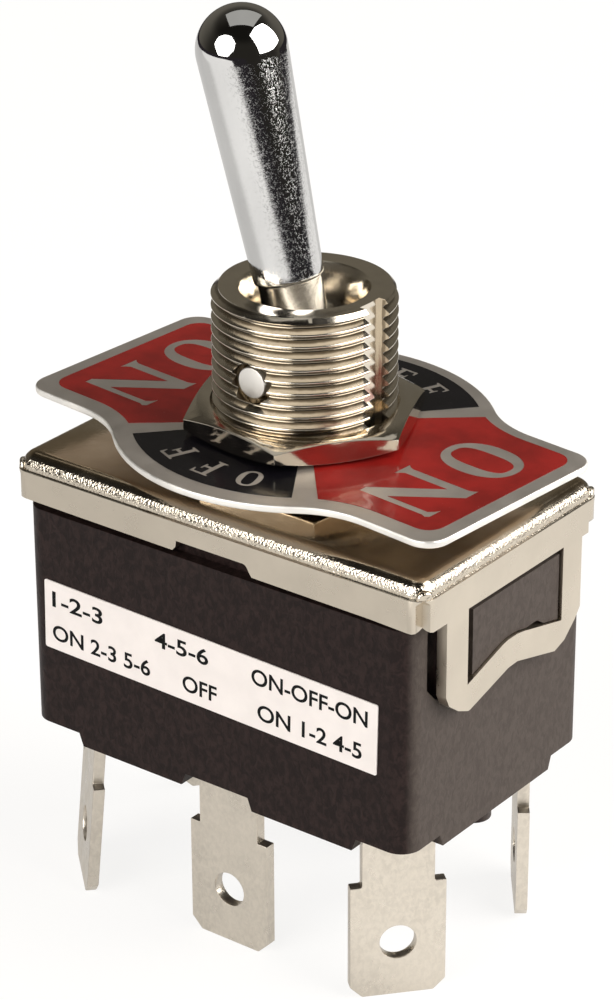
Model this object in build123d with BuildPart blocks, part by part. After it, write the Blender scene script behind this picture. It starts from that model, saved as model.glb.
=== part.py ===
from build123d import *
from math import atan, atan2, cos, degrees, radians, sin, sqrt, tan
import os

os.makedirs("parts", exist_ok=True)

# Heavy-duty double-pole toggle switch, ON-OFF-ON, with a threaded bushing and blade terminals.
# Millimetres. +X runs along the body towards the keyway end, the labelled side faces -Y, +Z is up.
# The origin is on the bushing axis, at the level of the terminal tips.

# ---------------------------------------------------------------- driving dimensions
# heights, stacked up from the terminal tips
BLADE_REACH = 11.5  # terminals below the base
BASE_HEIGHT = 20.15  # underside of the base to the top of the frame
BUSHING_HEIGHT = 12.45  # top of the frame to the bushing's rim
PIVOT_HEIGHT = 7.6  # top of the frame to the lever's pin

# base moulding
BASE_LENGTH = 30.97
BASE_WIDTH = 19.9
BASE_CORNER = 1.5
BODY_SHIFT = -0.09  # the base and frame sit this far along X from the bushing axis
FLOOR = 3.3
CAVITY_LENGTH = 25.8
CAVITY_WIDTH = 15.8
FOOT_RISE = 0.9  # pockets round the terminals, up from the underside

# folded top frame
FRAME_LENGTH = 32.98
FRAME_WIDTH = 19.75
SHEET = 0.75
SKIRT = 3.42
BEND = 1.1
CORNER_R = 1.25
BEND_SET = 0.18  # the coined bend stands this far inside the skirts
BEND_DEPTH = 1.19  # top of the frame to the step where the skirts start
BEND_STEP = 0.085  # height of that step

# bushing and its fittings, thread 15/32-32
THREAD_R = 5.95
THREAD_PITCH = 0.794
NUT_FLATS = 14.0
NUT_THICK = 1.5
BACK_NUT_THICK = 1.72
WASHER_R = 8.0
WASHER_THICK = 0.68
PLATE_THICK = 0.5
PLATE_TURN = -5.0  # the plate sits turned by the play of its key
PLATE_RISE = (-0.0113, 0.0074)  # and lies a little askew under its nut, rise per mm of X and Y
MOUTH_R = 4.12
BORE_R = 3.45
PIN_R = 1.2
PIN_PLAY = 0.05

# lever
LEAN = 14.0  # lean from upright, towards -X at rest
LEVER_REACH = 20.0  # pin to the centre of the domed tip
BAT_FOOT = 5.15  # pin to the lower end of the bat
TIP_R = 2.86
BAT_FOOT_R = 2.27
NECK_R = 2.05
BALL_R = 3.3
SHANK_R = 1.9

# poles and contacts
POLE_Y = 5.2
CONTACT_X = 10.4
ROCKER_TILT = 9.0  # rocker each way for LEAN of the lever
STRIP = 0.9
BLADE_WIDTH = 6.35
BLADE_THICK = 0.8
NECK_WIDTH = 4.8
BLADE_SHOULDER = 8.3  # tip to shoulder
BLADE_HOLE_R = 1.2
BLADE_HOLE_Z = 3.95
CORNER_BLADES = {  # centre of each neck, and turn of the blade from the X direction
    ("front", "left"): ((-12.21, -7.14), -43.4),
    ("front", "right"): ((12.55, -6.95), 48.5),
    ("rear", "left"): ((-12.55, 6.95), 228.5),
    ("rear", "right"): ((12.4, 7.45), 127.0),
}
BLADE_LEAN = {  # blades bent outwards below the base
    ("front", "left"): 5.0,
    ("front", "right"): 0.0,
    ("rear", "left"): 4.0,
    ("rear", "right"): 0.0,
}
COMMON_X = 0.2
COMMON_Y = 8.35

# ---------------------------------------------------------------- derived levels
base_bottom = BLADE_REACH
floor_top = base_bottom + FLOOR
frame_top = base_bottom + BASE_HEIGHT
frame_under = frame_top - SHEET
skirt_low = frame_top - SKIRT
gasket_under = frame_under - 0.3
ledge = skirt_low - 0.1
bushing_top = frame_top + BUSHING_HEIGHT
pivot_z = frame_top + PIVOT_HEIGHT
plate_slope = sqrt(PLATE_RISE[0] ** 2 + PLATE_RISE[1] ** 2)
washer_z = frame_top + BACK_NUT_THICK
plate_z = washer_z + WASHER_THICK + WASHER_R * plate_slope
face_nut_z = plate_z + PLATE_THICK + NUT_FLATS / 2 * plate_slope
nut_top = face_nut_z + NUT_THICK
thread_depth = 0.6134 * THREAD_PITCH
PITCH_R = THREAD_R - thread_depth / 2  # engaged lengths are drawn at the pitch radius

# planes of the lever at rest: one holds its side view, the other is square to its axis
lean_x = (cos(radians(LEAN)), 0, sin(radians(LEAN)))
lean_up = (-sin(radians(LEAN)), 0, cos(radians(LEAN)))
pivot = (0, 0, pivot_z)
lever_side = Plane(origin=pivot, x_dir=lean_x, z_dir=(0, -1, 0))
lever_square = Plane(origin=pivot, x_dir=lean_x, z_dir=lean_up)
lever_axis = Axis(pivot, lean_up)


def finish(piece, name):
    """Label a finished piece and write its STEP file."""
    piece.part.label = name
    export_step(piece.part, f"parts/{name}.step")


# ---------------------------------------------------------------- contact geometry
# The plunger's round tip swings about the lever's pin. Seen from the rocker, which tilts the other
# way, its centre runs along an arc, and the rocker's dished middle follows that arc.
pad_top = floor_top + BLADE_THICK
FIXED_CONTACT = 0.9
FIXED_CONTACT_R = 1.8
MOVING_CONTACT = 0.9
CONTACT_DOME = 4.0  # radius of the moving contacts' faces
CONTACT_GAP = 0.05
dome_rise = (CONTACT_DOME - MOVING_CONTACT) * cos(radians(ROCKER_TILT))
contact_drop = CONTACT_X * sin(radians(ROCKER_TILT)) - dome_rise + CONTACT_DOME
rocker_z = pad_top + FIXED_CONTACT + CONTACT_GAP + contact_drop
TIP_SWING = 17.6  # lever's pin to the centre of the plunger's tip
PLUNGER_R = 1.25
TIP_GAP = 0.08
low_centre = pivot_z - TIP_SWING - rocker_z
swing_x = TIP_SWING * sin(radians(LEAN))
swing_z = pivot_z - TIP_SWING * cos(radians(LEAN)) - rocker_z
dish_x = swing_x * cos(radians(ROCKER_TILT)) - swing_z * sin(radians(ROCKER_TILT))
dish_z = swing_x * sin(radians(ROCKER_TILT)) + swing_z * cos(radians(ROCKER_TILT))
dish_rise = dish_z - low_centre
path_r = (dish_x**2 + dish_rise**2) / (2 * dish_rise)
dish_centre = low_centre + path_r
dish_r = path_r + PLUNGER_R + TIP_GAP

# ---------------------------------------------------------------- terminals
blade_end = BLADE_WIDTH / 2
neck_half = NECK_WIDTH / 2
TIP_CHAMFER = 0.8
PAD_R = 1.9  # of the pad that a corner terminal carries above the floor
bend_z = base_bottom + FOOT_RISE
CUT_ROOM = 1.0  # room that a cutting or trimming shape has past the piece

# outline of a blade terminal, from the tip up to the base's floor, right half then left half
right_half = [
    (blade_end - TIP_CHAMFER, 0),
    (blade_end, TIP_CHAMFER),
    (blade_end, BLADE_SHOULDER),
    (neck_half, BLADE_SHOULDER),
    (neck_half, floor_top),
]
blade_outline = right_half + [(-x, z) for x, z in reversed(right_half)]

corner_planes = {}
contact_spots = {}
for (row, end), (centre, turn) in CORNER_BLADES.items():
    angle = radians(turn)
    corner_planes[row, end] = Plane(
        origin=(centre[0], centre[1], 0),
        x_dir=(cos(angle), sin(angle), 0),
        z_dir=(sin(angle), -cos(angle), 0),
    )
    spot_x = CONTACT_X if end == "right" else -CONTACT_X
    spot_y = POLE_Y if row == "rear" else -POLE_Y
    contact_spots[row, end] = (spot_x, spot_y)

for (row, end), face_plane in corner_planes.items():
    neck_place = Location((face_plane.origin.X, face_plane.origin.Y), CORNER_BLADES[row, end][1])
    with BuildPart() as end_terminal:
        with BuildSketch(face_plane):
            Polygon(*blade_outline, align=None)
            with Locations((0, BLADE_HOLE_Z)):
                Circle(BLADE_HOLE_R, mode=Mode.SUBTRACT)
        extrude(amount=BLADE_REACH, both=True)
        # trimmed to the strip's edge view, which leans outwards from the base down
        slope = tan(radians(BLADE_LEAN[row, end]))
        drift = slope * (bend_z + CUT_ROOM)
        edge_plane = Plane(origin=face_plane.origin, x_dir=face_plane.z_dir, z_dir=-face_plane.x_dir)
        with BuildSketch(edge_plane):
            Polygon(
                (-BLADE_THICK / 2, floor_top),
                (-BLADE_THICK / 2, bend_z),
                (-BLADE_THICK / 2 + drift, -CUT_ROOM),
                (BLADE_THICK / 2 + drift, -CUT_ROOM),
                (BLADE_THICK / 2, bend_z),
                (BLADE_THICK / 2, floor_top),
                align=None,
            )
        extrude(amount=BLADE_WIDTH, both=True, mode=Mode.INTERSECT)
        # folded inwards above the floor, out to the pad under the contact
        with BuildSketch(Plane.XY.offset(floor_top)):
            with Locations(neck_place):
                Rectangle(NECK_WIDTH, BLADE_THICK)
            with Locations(contact_spots[row, end]):
                Circle(PAD_R)
            make_hull()
        extrude(amount=BLADE_THICK)
    finish(end_terminal, f"terminal_{row}_{end}")

    with BuildPart() as fixed_contact:
        with BuildSketch(Plane.XY.offset(pad_top)):
            with Locations(contact_spots[row, end]):
                Circle(FIXED_CONTACT_R)
        extrude(amount=FIXED_CONTACT)
        fillet(fixed_contact.faces().sort_by(Axis.Z)[-1].edges(), FIXED_CONTACT / 3)
    finish(fixed_contact, f"fixed_contact_{row}_{end}")

EAR = 0.6  # thickness of the saddle's ears
ROCKER_WIDTH = 3.6
TRUNNION_R = 0.6
ear_inner = ROCKER_WIDTH / 2 + 0.1
for side, row in ((-1, "front"), (1, "rear")):
    face_plane = Plane(origin=(COMMON_X, side * COMMON_Y, 0), x_dir=(1, 0, 0), z_dir=(0, -1, 0))
    saddle_in = POLE_Y - ear_inner - EAR
    saddle_out = COMMON_Y + BLADE_THICK / 2
    with BuildPart() as common_terminal:
        with BuildSketch(face_plane):
            Polygon(*blade_outline, align=None)
            with Locations((0, BLADE_HOLE_Z)):
                Circle(BLADE_HOLE_R, mode=Mode.SUBTRACT)
        extrude(amount=BLADE_THICK / 2, both=True)
        with BuildSketch(Plane.XY.offset(floor_top)):
            with Locations((COMMON_X, side * (saddle_in + saddle_out) / 2)):
                Rectangle(NECK_WIDTH, saddle_out - saddle_in)
        extrude(amount=BLADE_THICK)
        for ear in (-1, 1):
            ear_face = side * POLE_Y + ear * (ear_inner + EAR / 2)
            with BuildSketch(Plane(origin=(0, ear_face, 0), x_dir=(1, 0, 0), z_dir=(0, -1, 0))):
                with BuildLine():
                    Polyline(
                        (-2.1, pad_top),
                        (-1.5, rocker_z + 0.9),
                        (1.5, rocker_z + 0.9),
                        (2.1, pad_top),
                        close=True,
                    )
                make_face()
                with Locations((0, rocker_z)):
                    Circle(TRUNNION_R + PIN_PLAY, mode=Mode.SUBTRACT)
                with Locations((0, rocker_z + 0.5)):
                    Rectangle(2 * (TRUNNION_R + PIN_PLAY), 1.0, mode=Mode.SUBTRACT)
            extrude(amount=EAR / 2, both=True)
    finish(common_terminal, f"common_terminal_{row}")

# ---------------------------------------------------------------- base moulding
END_RECESS = 1.2  # pocket behind each strap loop
LOOP_SHIFT = 0.15  # the loops, and the pockets behind them, sit off centre
LUG_PROUD = 0.8
base_half = BASE_LENGTH / 2
band_half = FRAME_WIDTH / 2 - SHEET - 0.05
CAVITY_CORNER = 1.0
PARTITION = 1.6
PARTITION_RISE = 2.4  # top of the partition above the rockers' trunnions
POCKET_SIZE = 6.0  # pockets in the underside: square ones at the corners
CORNER_POCKET = (11.1 + POCKET_SIZE / 2, 6.0 + POCKET_SIZE / 2)
MIDDLE_POCKET = (5.8, 4.4)
NECK_PLAY = 0.08
SEAT_ROOM = 2.0  # height cleared over the folded tops
PIP_R = 1.2
PIP_DROP = 0.7
PIPS = [(14.0, -0.65), (-14.0, 0.65)]
end_pocket = [
    (8.15, gasket_under - frame_top),
    (8.15, -8.15),
    (7.25, -9.1),
    (6.1, -9.75),
    (4.9, -10.0),
    (0, -8.9),
]
end_pocket += [(-y, z) for y, z in reversed(end_pocket[:-1])]
lug_outline = [
    (-4.25, -3.8),
    (-4.25, -8.36),
    (-1.2, -7.44),
    (-0.6, -7.33),
    (0.4, -7.33),
    (1.1, -7.44),
    (1.7, -7.58),
    (2.95, -7.55),
    (3.7, -8.07),
    (5.35, -8.46),
    (5.35, -3.8),
]

with BuildPart() as base_housing:
    with BuildSketch(Plane.XY.offset(base_bottom)):
        with Locations((BODY_SHIFT, 0)):
            RectangleRounded(BASE_LENGTH, BASE_WIDTH, BASE_CORNER)
    extrude(amount=gasket_under - base_bottom)
    # rebate under the long skirts
    with BuildSketch(Plane.XY.offset(ledge)):
        with Locations((BODY_SHIFT, 0)):
            Rectangle(BASE_LENGTH + CUT_ROOM, BASE_WIDTH + CUT_ROOM)
            Rectangle(BASE_LENGTH + 2 * CUT_ROOM, 2 * band_half, mode=Mode.SUBTRACT)
    extrude(amount=gasket_under - ledge, mode=Mode.SUBTRACT)
    # pocket behind each strap loop, and the lug that fills the loop's window
    for side in (-1, 1):
        end_plane = Plane(
            origin=(BODY_SHIFT + side * base_half, 0, frame_top),
            x_dir=(0, side, 0),
            z_dir=(side, 0, 0),
        )
        with BuildSketch(end_plane):
            with Locations((LOOP_SHIFT, 0)):
                Polygon(*end_pocket, align=None)
        extrude(amount=-END_RECESS, mode=Mode.SUBTRACT)
        with BuildSketch(end_plane.offset(-END_RECESS)):
            Polygon(*lug_outline, align=None)
        extrude(amount=END_RECESS + LUG_PROUD)
    # cavity with a partition between the poles
    with BuildSketch(Plane.XY.offset(floor_top)):
        RectangleRounded(CAVITY_LENGTH, CAVITY_WIDTH, CAVITY_CORNER)
    extrude(amount=gasket_under - floor_top, mode=Mode.SUBTRACT)
    with BuildSketch(Plane.XY.offset(floor_top)):
        Rectangle(CAVITY_LENGTH + 0.4, PARTITION)
    extrude(amount=rocker_z + PARTITION_RISE - floor_top)
    # pockets in the underside round the terminals
    with BuildSketch(Plane.XY.offset(base_bottom)):
        for side_x in (-1, 1):
            for side_y in (-1, 1):
                with Locations((side_x * CORNER_POCKET[0], side_y * CORNER_POCKET[1])):
                    Rectangle(POCKET_SIZE, POCKET_SIZE)
        for side_y in (-1, 1):
            with Locations((COMMON_X, side_y * (COMMON_Y + 1))):
                Rectangle(*MIDDLE_POCKET)
    extrude(amount=FOOT_RISE, taper=20, mode=Mode.SUBTRACT)
    # slots for the necks, and seats for the folded tops
    for (row, end), (centre, turn) in CORNER_BLADES.items():
        neck_place = Location(centre, turn)
        with BuildSketch(Plane.XY.offset(base_bottom)):
            with Locations(neck_place):
                Rectangle(NECK_WIDTH + 2 * NECK_PLAY, BLADE_THICK + 2 * NECK_PLAY)
        extrude(amount=FLOOR, mode=Mode.SUBTRACT)
        with BuildSketch(Plane.XY.offset(floor_top)):
            with Locations(neck_place):
                Rectangle(NECK_WIDTH + 2 * NECK_PLAY, BLADE_THICK + 2 * NECK_PLAY)
            with Locations(contact_spots[row, end]):
                Circle(PAD_R + NECK_PLAY)
            make_hull()
        extrude(amount=SEAT_ROOM, mode=Mode.SUBTRACT)
    for side_y in (-1, 1):
        with BuildSketch(Plane.XY.offset(base_bottom)):
            with Locations((COMMON_X, side_y * COMMON_Y)):
                Rectangle(NECK_WIDTH + 2 * NECK_PLAY, BLADE_THICK + 2 * NECK_PLAY)
        extrude(amount=FLOOR + SEAT_ROOM, mode=Mode.SUBTRACT)
    # moulded pips under the ends
    with BuildSketch(Plane.XY.offset(base_bottom - PIP_DROP)):
        with Locations(*PIPS):
            Circle(PIP_R)
    extrude(amount=PIP_DROP + 0.2)
    fillet(base_housing.faces().filter_by(Axis.Z).sort_by(Axis.Z)[0].edges(), 0.4)
finish(base_housing, "base_housing")

SHEET_BORE_R = 7.1
with BuildPart() as insulator_sheet:
    with BuildSketch(Plane.XY.offset(gasket_under)):
        with Locations((BODY_SHIFT, 0)):
            RectangleRounded(BASE_LENGTH, 2 * band_half, 1.0)
        Circle(SHEET_BORE_R, mode=Mode.SUBTRACT)
    extrude(amount=frame_under - gasket_under)
finish(insulator_sheet, "insulator_sheet")

LABEL_LENGTH = 27.1
LABEL_HEIGHT = 5.0
LABEL_THICK = 0.08
label_plane = Plane(
    origin=(-0.43, -BASE_WIDTH / 2, frame_top - 11.23),
    x_dir=(cos(radians(-1.2)), 0, sin(radians(-1.2))),
    z_dir=(0, -1, 0),
)
with BuildPart() as rating_label:
    with BuildSketch(label_plane):
        RectangleRounded(LABEL_LENGTH, LABEL_HEIGHT, 0.15)
    extrude(amount=LABEL_THICK)
finish(rating_label, "rating_label")

# ---------------------------------------------------------------- folded top frame
frame_half = FRAME_LENGTH / 2
# the strap loop and its window, measured from the middle of the end skirt's top
loop_outline = [
    (-7.35, -SKIRT + 1.0),
    (-7.35, -8.6),
    (-7.0, -9.35),
    (-6.0, -10.1),
    (-4.85, -10.6),
    (-0.5, -9.42),
    (0.5, -9.38),
    (4.8, -10.5),
    (5.9, -10.15),
    (7.1, -9.1),
    (7.65, -8.4),
    (7.65, -SKIRT + 1.0),
]
window_outline = [
    (-5.05, -3.35),
    (-5.05, -8.66),
    (-1.2, -7.5),
    (-0.6, -7.39),
    (0.4, -7.39),
    (1.1, -7.5),
    (5.5, -8.56),
    (5.5, -3.35),
]
# section of the valley where two skirts butt at a corner: along the corner's face, and out from the
# sharp corner of the skirts, the long skirt's lip first
valley_section = [
    (-0.5, -0.35),
    (-0.36, -0.62),
    (-0.1, -0.78),
    (0.1, -0.95),
    (0.25, -0.8),
    (0.5, -0.66),
    (0.8, -0.35),
]
VALLEY_TOP = 1.5  # top of the frame to where the valley starts to run out
VALLEY_RUN = 0.7  # how far it runs out along X and Y for each unit up
EAR_HALF = 0.56  # the rounded ear that the skirts' ends make beside the bend
EAR_SHIFT = 0.2  # from the corner towards the end skirt
EAR_TOP = 0.6  # top of the frame to the top of the ear
EAR_R = CORNER_R - 0.04
EAR_ROUND = 0.2
ear_level = frame_top - BEND_DEPTH
# rounded lower corners of the two skirts, above their lower edge
seam_outline = [
    (-0.9, -0.1),
    (-0.5, 0.04),
    (-0.2, 0.12),
    (0.1, 0.26),
    (0.35, 0.12),
    (0.65, 0.04),
    (1.0, -0.1),
]
SEAM_CUT = 2.0
# lower edge of a long skirt, which slopes: from its narrow end, and above its lowest level
edge_outline = [
    (-frame_half - CUT_ROOM, -CUT_ROOM),
    (-frame_half - CUT_ROOM, 0.8 + CUT_ROOM),
    (-frame_half, 0.8),
    (-frame_half + 0.2, 0.55),
    (-frame_half + 0.6, 0.31),
    (frame_half - 4.0, 0.1),
    (frame_half - 1.0, 0),
    (frame_half - 1.0, -CUT_ROOM),
]
NOTCH_LEFT = -3.2  # the assembly notch in that edge
NOTCH_RIGHT = 3.6
NOTCH_RISE = 0.94
SEAT_R = 5.5  # of the bushing's seat through the sheet
corner_ears = {}
for hand in (-1, 1):
    with BuildPart() as corner_ear:
        with BuildSketch(Plane(origin=(0, 0, ear_level), x_dir=(1, -1, 0), z_dir=(-1, -1, 0))):
            with Locations((hand * EAR_SHIFT, 0)):
                Ellipse(EAR_HALF, BEND_DEPTH - EAR_TOP)
            with Locations((hand * EAR_SHIFT, -BEND_DEPTH / 4)):
                Rectangle(2 * EAR_HALF, BEND_DEPTH / 2)
        extrude(amount=-2 * CORNER_R)
        with BuildSketch(Plane.XY.offset(frame_top - 2 * BEND_DEPTH)):
            Circle(EAR_R)
        extrude(amount=2 * BEND_DEPTH, mode=Mode.INTERSECT)
        ear_front = corner_ear.faces().filter_by(GeomType.CYLINDER).sort_by(Axis((0, 0, 0), (1, 1, 0)))
        ear_rim = ear_front[-1].edges().filter_by(GeomType.LINE, reverse=True).sort_by(Axis.Z)[-1]
        fillet(ear_rim, EAR_ROUND)
    corner_ears[hand] = corner_ear.part

with BuildPart() as top_frame:
    # skirts, with a step in to the coined bend
    with BuildSketch(Plane.XY.offset(skirt_low)):
        with Locations((BODY_SHIFT, 0)):
            RectangleRounded(FRAME_LENGTH, FRAME_WIDTH, CORNER_R)
    extrude(amount=SKIRT - BEND_DEPTH)
    with BuildSketch(Plane.XY.offset(frame_top - BEND_DEPTH)):
        with Locations((BODY_SHIFT, 0)):
            RectangleRounded(FRAME_LENGTH, FRAME_WIDTH, CORNER_R)
    extrude(amount=BEND_STEP, taper=degrees(atan(BEND_SET / BEND_STEP)))
    with BuildSketch(Plane.XY.offset(skirt_low)):
        with Locations((BODY_SHIFT, 0)):
            RectangleRounded(FRAME_LENGTH - 2 * BEND_SET, FRAME_WIDTH - 2 * BEND_SET, CORNER_R)
    extrude(amount=SKIRT)
    fillet(top_frame.faces().sort_by(Axis.Z)[-1].edges(), BEND)
    for side_x in (-1, 1):
        for side_y in (-1, 1):
            ear_x = BODY_SHIFT + side_x * (frame_half - CORNER_R)
            ear_y = side_y * (FRAME_WIDTH / 2 - CORNER_R)
            with Locations(Location((ear_x, ear_y), degrees(atan2(side_y, side_x)) - 45)):
                add(corner_ears[side_x * side_y])
    with BuildSketch(Plane.XY.offset(skirt_low)):
        with Locations((BODY_SHIFT, 0)):
            RectangleRounded(FRAME_LENGTH - 2 * SHEET, FRAME_WIDTH - 2 * SHEET, 0.3)
    extrude(amount=SKIRT - SHEET, mode=Mode.SUBTRACT)
    # strap loops down over the base's lugs
    for side in (-1, 1):
        loop_plane = Plane(
            origin=(BODY_SHIFT + side * frame_half, 0, frame_top),
            x_dir=(0, side, 0),
            z_dir=(side, 0, 0),
        )
        with BuildSketch(loop_plane) as loop:
            Polygon(*loop_outline, align=None)
            fillet(loop.vertices().group_by(Axis.Y)[0], 0.6)
            Polygon(*window_outline, align=None, mode=Mode.SUBTRACT)
        extrude(amount=-SHEET)
        with BuildSketch(loop_plane):
            Polygon(*window_outline, align=None)
        extrude(amount=-SHEET, mode=Mode.SUBTRACT)
    # the corners: a valley between the butted skirts, and their rounded lower ends
    for side_x in (-1, 1):
        for side_y in (-1, 1):
            corner_x = BODY_SHIFT + side_x * frame_half
            corner_y = side_y * FRAME_WIDTH / 2
            outward = side_x * side_y
            flat = Plane(origin=(corner_x, corner_y, 0), x_dir=(side_x, -side_y, 0), z_dir=(0, 0, 1))
            with BuildSketch(flat.offset(skirt_low - CUT_ROOM)):
                Polygon(*[(x, outward * y) for x, y in valley_section], align=None)
            extrude(amount=SKIRT + CUT_ROOM - VALLEY_TOP, mode=Mode.SUBTRACT)
            with BuildSketch(flat.offset(frame_top - VALLEY_TOP)):
                Polygon(*[(x, outward * y) for x, y in valley_section], align=None)
            run_out = Vector(side_x * VALLEY_RUN, side_y * VALLEY_RUN, 1).normalized()
            extrude(amount=BEND_DEPTH, dir=run_out, mode=Mode.SUBTRACT)
            seam = Plane(
                origin=(corner_x, corner_y, skirt_low),
                x_dir=(side_x, -side_y, 0),
                z_dir=(-side_y, -side_x, 0),
            )
            with BuildSketch(seam):
                Polygon(*seam_outline, align=None)
            extrude(amount=SEAM_CUT, both=True, mode=Mode.SUBTRACT)
    # sloping lower edge of the long skirts, with an assembly notch
    for side in (-1, 1):
        skirt_plane = Plane(
            origin=(BODY_SHIFT, side * FRAME_WIDTH / 2, skirt_low),
            x_dir=(-side, 0, 0),
            z_dir=(0, side, 0),
        )
        with BuildSketch(skirt_plane):
            Polygon(*edge_outline, align=None)
            with BuildLine():
                Polyline(
                    (NOTCH_LEFT, 0),
                    (NOTCH_LEFT + 0.45, 0.52),
                    (NOTCH_LEFT + 0.5, NOTCH_RISE),
                    (NOTCH_RIGHT - 1.0, NOTCH_RISE),
                )
                Spline(
                    (NOTCH_RIGHT - 1.0, NOTCH_RISE),
                    (NOTCH_RIGHT - 0.55, 0.62),
                    (NOTCH_RIGHT, 0),
                    tangents=[(1, 0), (1, -0.4)],
                )
                Line((NOTCH_RIGHT, 0), (NOTCH_LEFT, 0))
            make_face()
        extrude(amount=-2 * SHEET, mode=Mode.SUBTRACT)
    # seat of the bushing
    with BuildSketch(Plane.XY.offset(frame_under - CUT_ROOM)):
        Circle(SEAT_R)
    extrude(amount=SHEET + 2 * CUT_ROOM, mode=Mode.SUBTRACT)
finish(top_frame, "top_frame")

# ---------------------------------------------------------------- bushing and pin
KEYWAY_WIDTH = 2.0
KEYWAY_DEPTH = 0.85
FLANGE = 0.9
FLANGE_R = 6.7
FLANGE_BORE_R = 4.6
RIM_CHAMFER = 0.35
MOUTH_DEPTH = 2.6  # rim to the lower end of the coned mouth
FLARE_DROP = 1.5  # pin to where the bore flares out
COUNTERSINK_R = 1.58
COUNTERSINK_Y = 5.35
with BuildPart() as bushing:
    with BuildSketch(Plane.XZ):
        with BuildLine():
            Polyline(
                (FLANGE_BORE_R, frame_under - FLANGE),
                (FLANGE_R, frame_under - FLANGE),
                (FLANGE_R, frame_under),
                (SEAT_R, frame_under),
                (SEAT_R, frame_top),
                (PITCH_R, frame_top),
                (PITCH_R, nut_top),
                (THREAD_R, nut_top),
                (THREAD_R, bushing_top - RIM_CHAMFER),
                (THREAD_R - RIM_CHAMFER, bushing_top),
                (MOUTH_R, bushing_top),
                (BORE_R, bushing_top - MOUTH_DEPTH),
                (BORE_R, pivot_z - FLARE_DROP),
                (FLANGE_BORE_R, frame_under - FLANGE),
            )
        make_face()
    revolve(axis=Axis.Z)
    # keyway down the +X side
    with BuildSketch(Plane.XY.offset(frame_top)):
        with Locations((THREAD_R - KEYWAY_DEPTH + CUT_ROOM, 0)):
            Rectangle(2 * CUT_ROOM, KEYWAY_WIDTH)
    extrude(amount=BUSHING_HEIGHT, mode=Mode.SUBTRACT)
    # cross hole for the pin, countersunk at both ends
    with BuildSketch(Plane.XZ.offset(-THREAD_R - CUT_ROOM)):
        with Locations((0, pivot_z)):
            Circle(PIN_R)
    extrude(amount=2 * (THREAD_R + CUT_ROOM), mode=Mode.SUBTRACT)
    for side in (-1, 1):
        with BuildSketch(Plane.XZ.offset(side * COUNTERSINK_Y)):
            with Locations((0, pivot_z)):
                Circle(COUNTERSINK_R)
        extrude(amount=side * CUT_ROOM, mode=Mode.SUBTRACT)
finish(bushing, "bushing")

PIN_HALF = 5.55
with BuildPart() as pivot_pin:
    with BuildSketch(Plane.XZ.offset(-PIN_HALF)):
        with Locations((0, pivot_z)):
            Circle(PIN_R)
    extrude(amount=2 * PIN_HALF)
    chamfer(pivot_pin.edges().filter_by(GeomType.CIRCLE), 0.12)
finish(pivot_pin, "pivot_pin")


# ---------------------------------------------------------------- nuts, washer, legend plate
NUT_CHAMFER = 0.42
NUT_FACE_INSET = 0.1  # the chamfers start this far inside the flats


def hex_nut(name, height, thick, turn):
    """A thin hexagon nut, chamfered on both faces by a cone through its corners."""
    corner_r = NUT_FLATS / 2 / cos(radians(30))
    with BuildPart() as nut:
        with BuildSketch(Plane.XY.offset(height)):
            RegularPolygon(NUT_FLATS / 2, 6, major_radius=False, rotation=turn)
            Circle(PITCH_R, mode=Mode.SUBTRACT)
        extrude(amount=thick)
        with BuildSketch(Plane.XZ):
            with BuildLine():
                Polyline(
                    (PITCH_R, height),
                    (NUT_FLATS / 2 - NUT_FACE_INSET, height),
                    (corner_r, height + NUT_CHAMFER),
                    (corner_r, height + thick - NUT_CHAMFER),
                    (NUT_FLATS / 2 - NUT_FACE_INSET, height + thick),
                    (PITCH_R, height + thick),
                    close=True,
                )
            make_face()
        revolve(axis=Axis.Z, mode=Mode.INTERSECT)
    finish(nut, name)


hex_nut("face_nut", face_nut_z, NUT_THICK, -6.5)
hex_nut("back_nut", frame_top, BACK_NUT_THICK, 11.0)

WASHER_BORE = 6.05
WASHER_TEETH = 12
TOOTH = 0.75
with BuildPart() as lock_washer:
    with BuildSketch(Plane.XY.offset(washer_z)):
        Circle(WASHER_R)
        Circle(WASHER_BORE + TOOTH, mode=Mode.SUBTRACT)
        with PolarLocations(WASHER_BORE + 0.5, WASHER_TEETH):
            Rectangle(1.0, 1.7)
        Circle(WASHER_BORE, mode=Mode.SUBTRACT)
    extrude(amount=WASHER_THICK)
finish(lock_washer, "lock_washer")

PLATE_DISC_R = 12.4
WING_REACH = 17.42
WING_HALF = 8.1
WAIST_R = 6.5
KEY_HALF = 0.55
PLATE_ROUND = 0.14  # rolled upper edge
plate_plane = Plane(
    origin=(0, 0, plate_z),
    x_dir=(cos(radians(PLATE_TURN)), sin(radians(PLATE_TURN)), 0),
    z_dir=(-PLATE_RISE[0], -PLATE_RISE[1], 1),
)
with BuildPart() as legend_plate:
    with BuildSketch(plate_plane) as plate_outline:
        Rectangle(2 * WING_REACH, 2 * WING_HALF)
        fillet(plate_outline.vertices(), 1.6)
        Circle(PLATE_DISC_R)
        waist = [v for v in plate_outline.vertices() if 9 < abs(v.X) < 12]
        fillet(waist, WAIST_R)
        Circle(WASHER_BORE, mode=Mode.SUBTRACT)
        with Locations((WASHER_BORE - 0.3, 0)):
            Rectangle(0.9, 2 * KEY_HALF)
    extrude(amount=PLATE_THICK)
    fillet(legend_plate.faces().sort_by(Axis.Z)[-1].outer_wire().edges(), PLATE_ROUND)
finish(legend_plate, "legend_plate")

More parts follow.
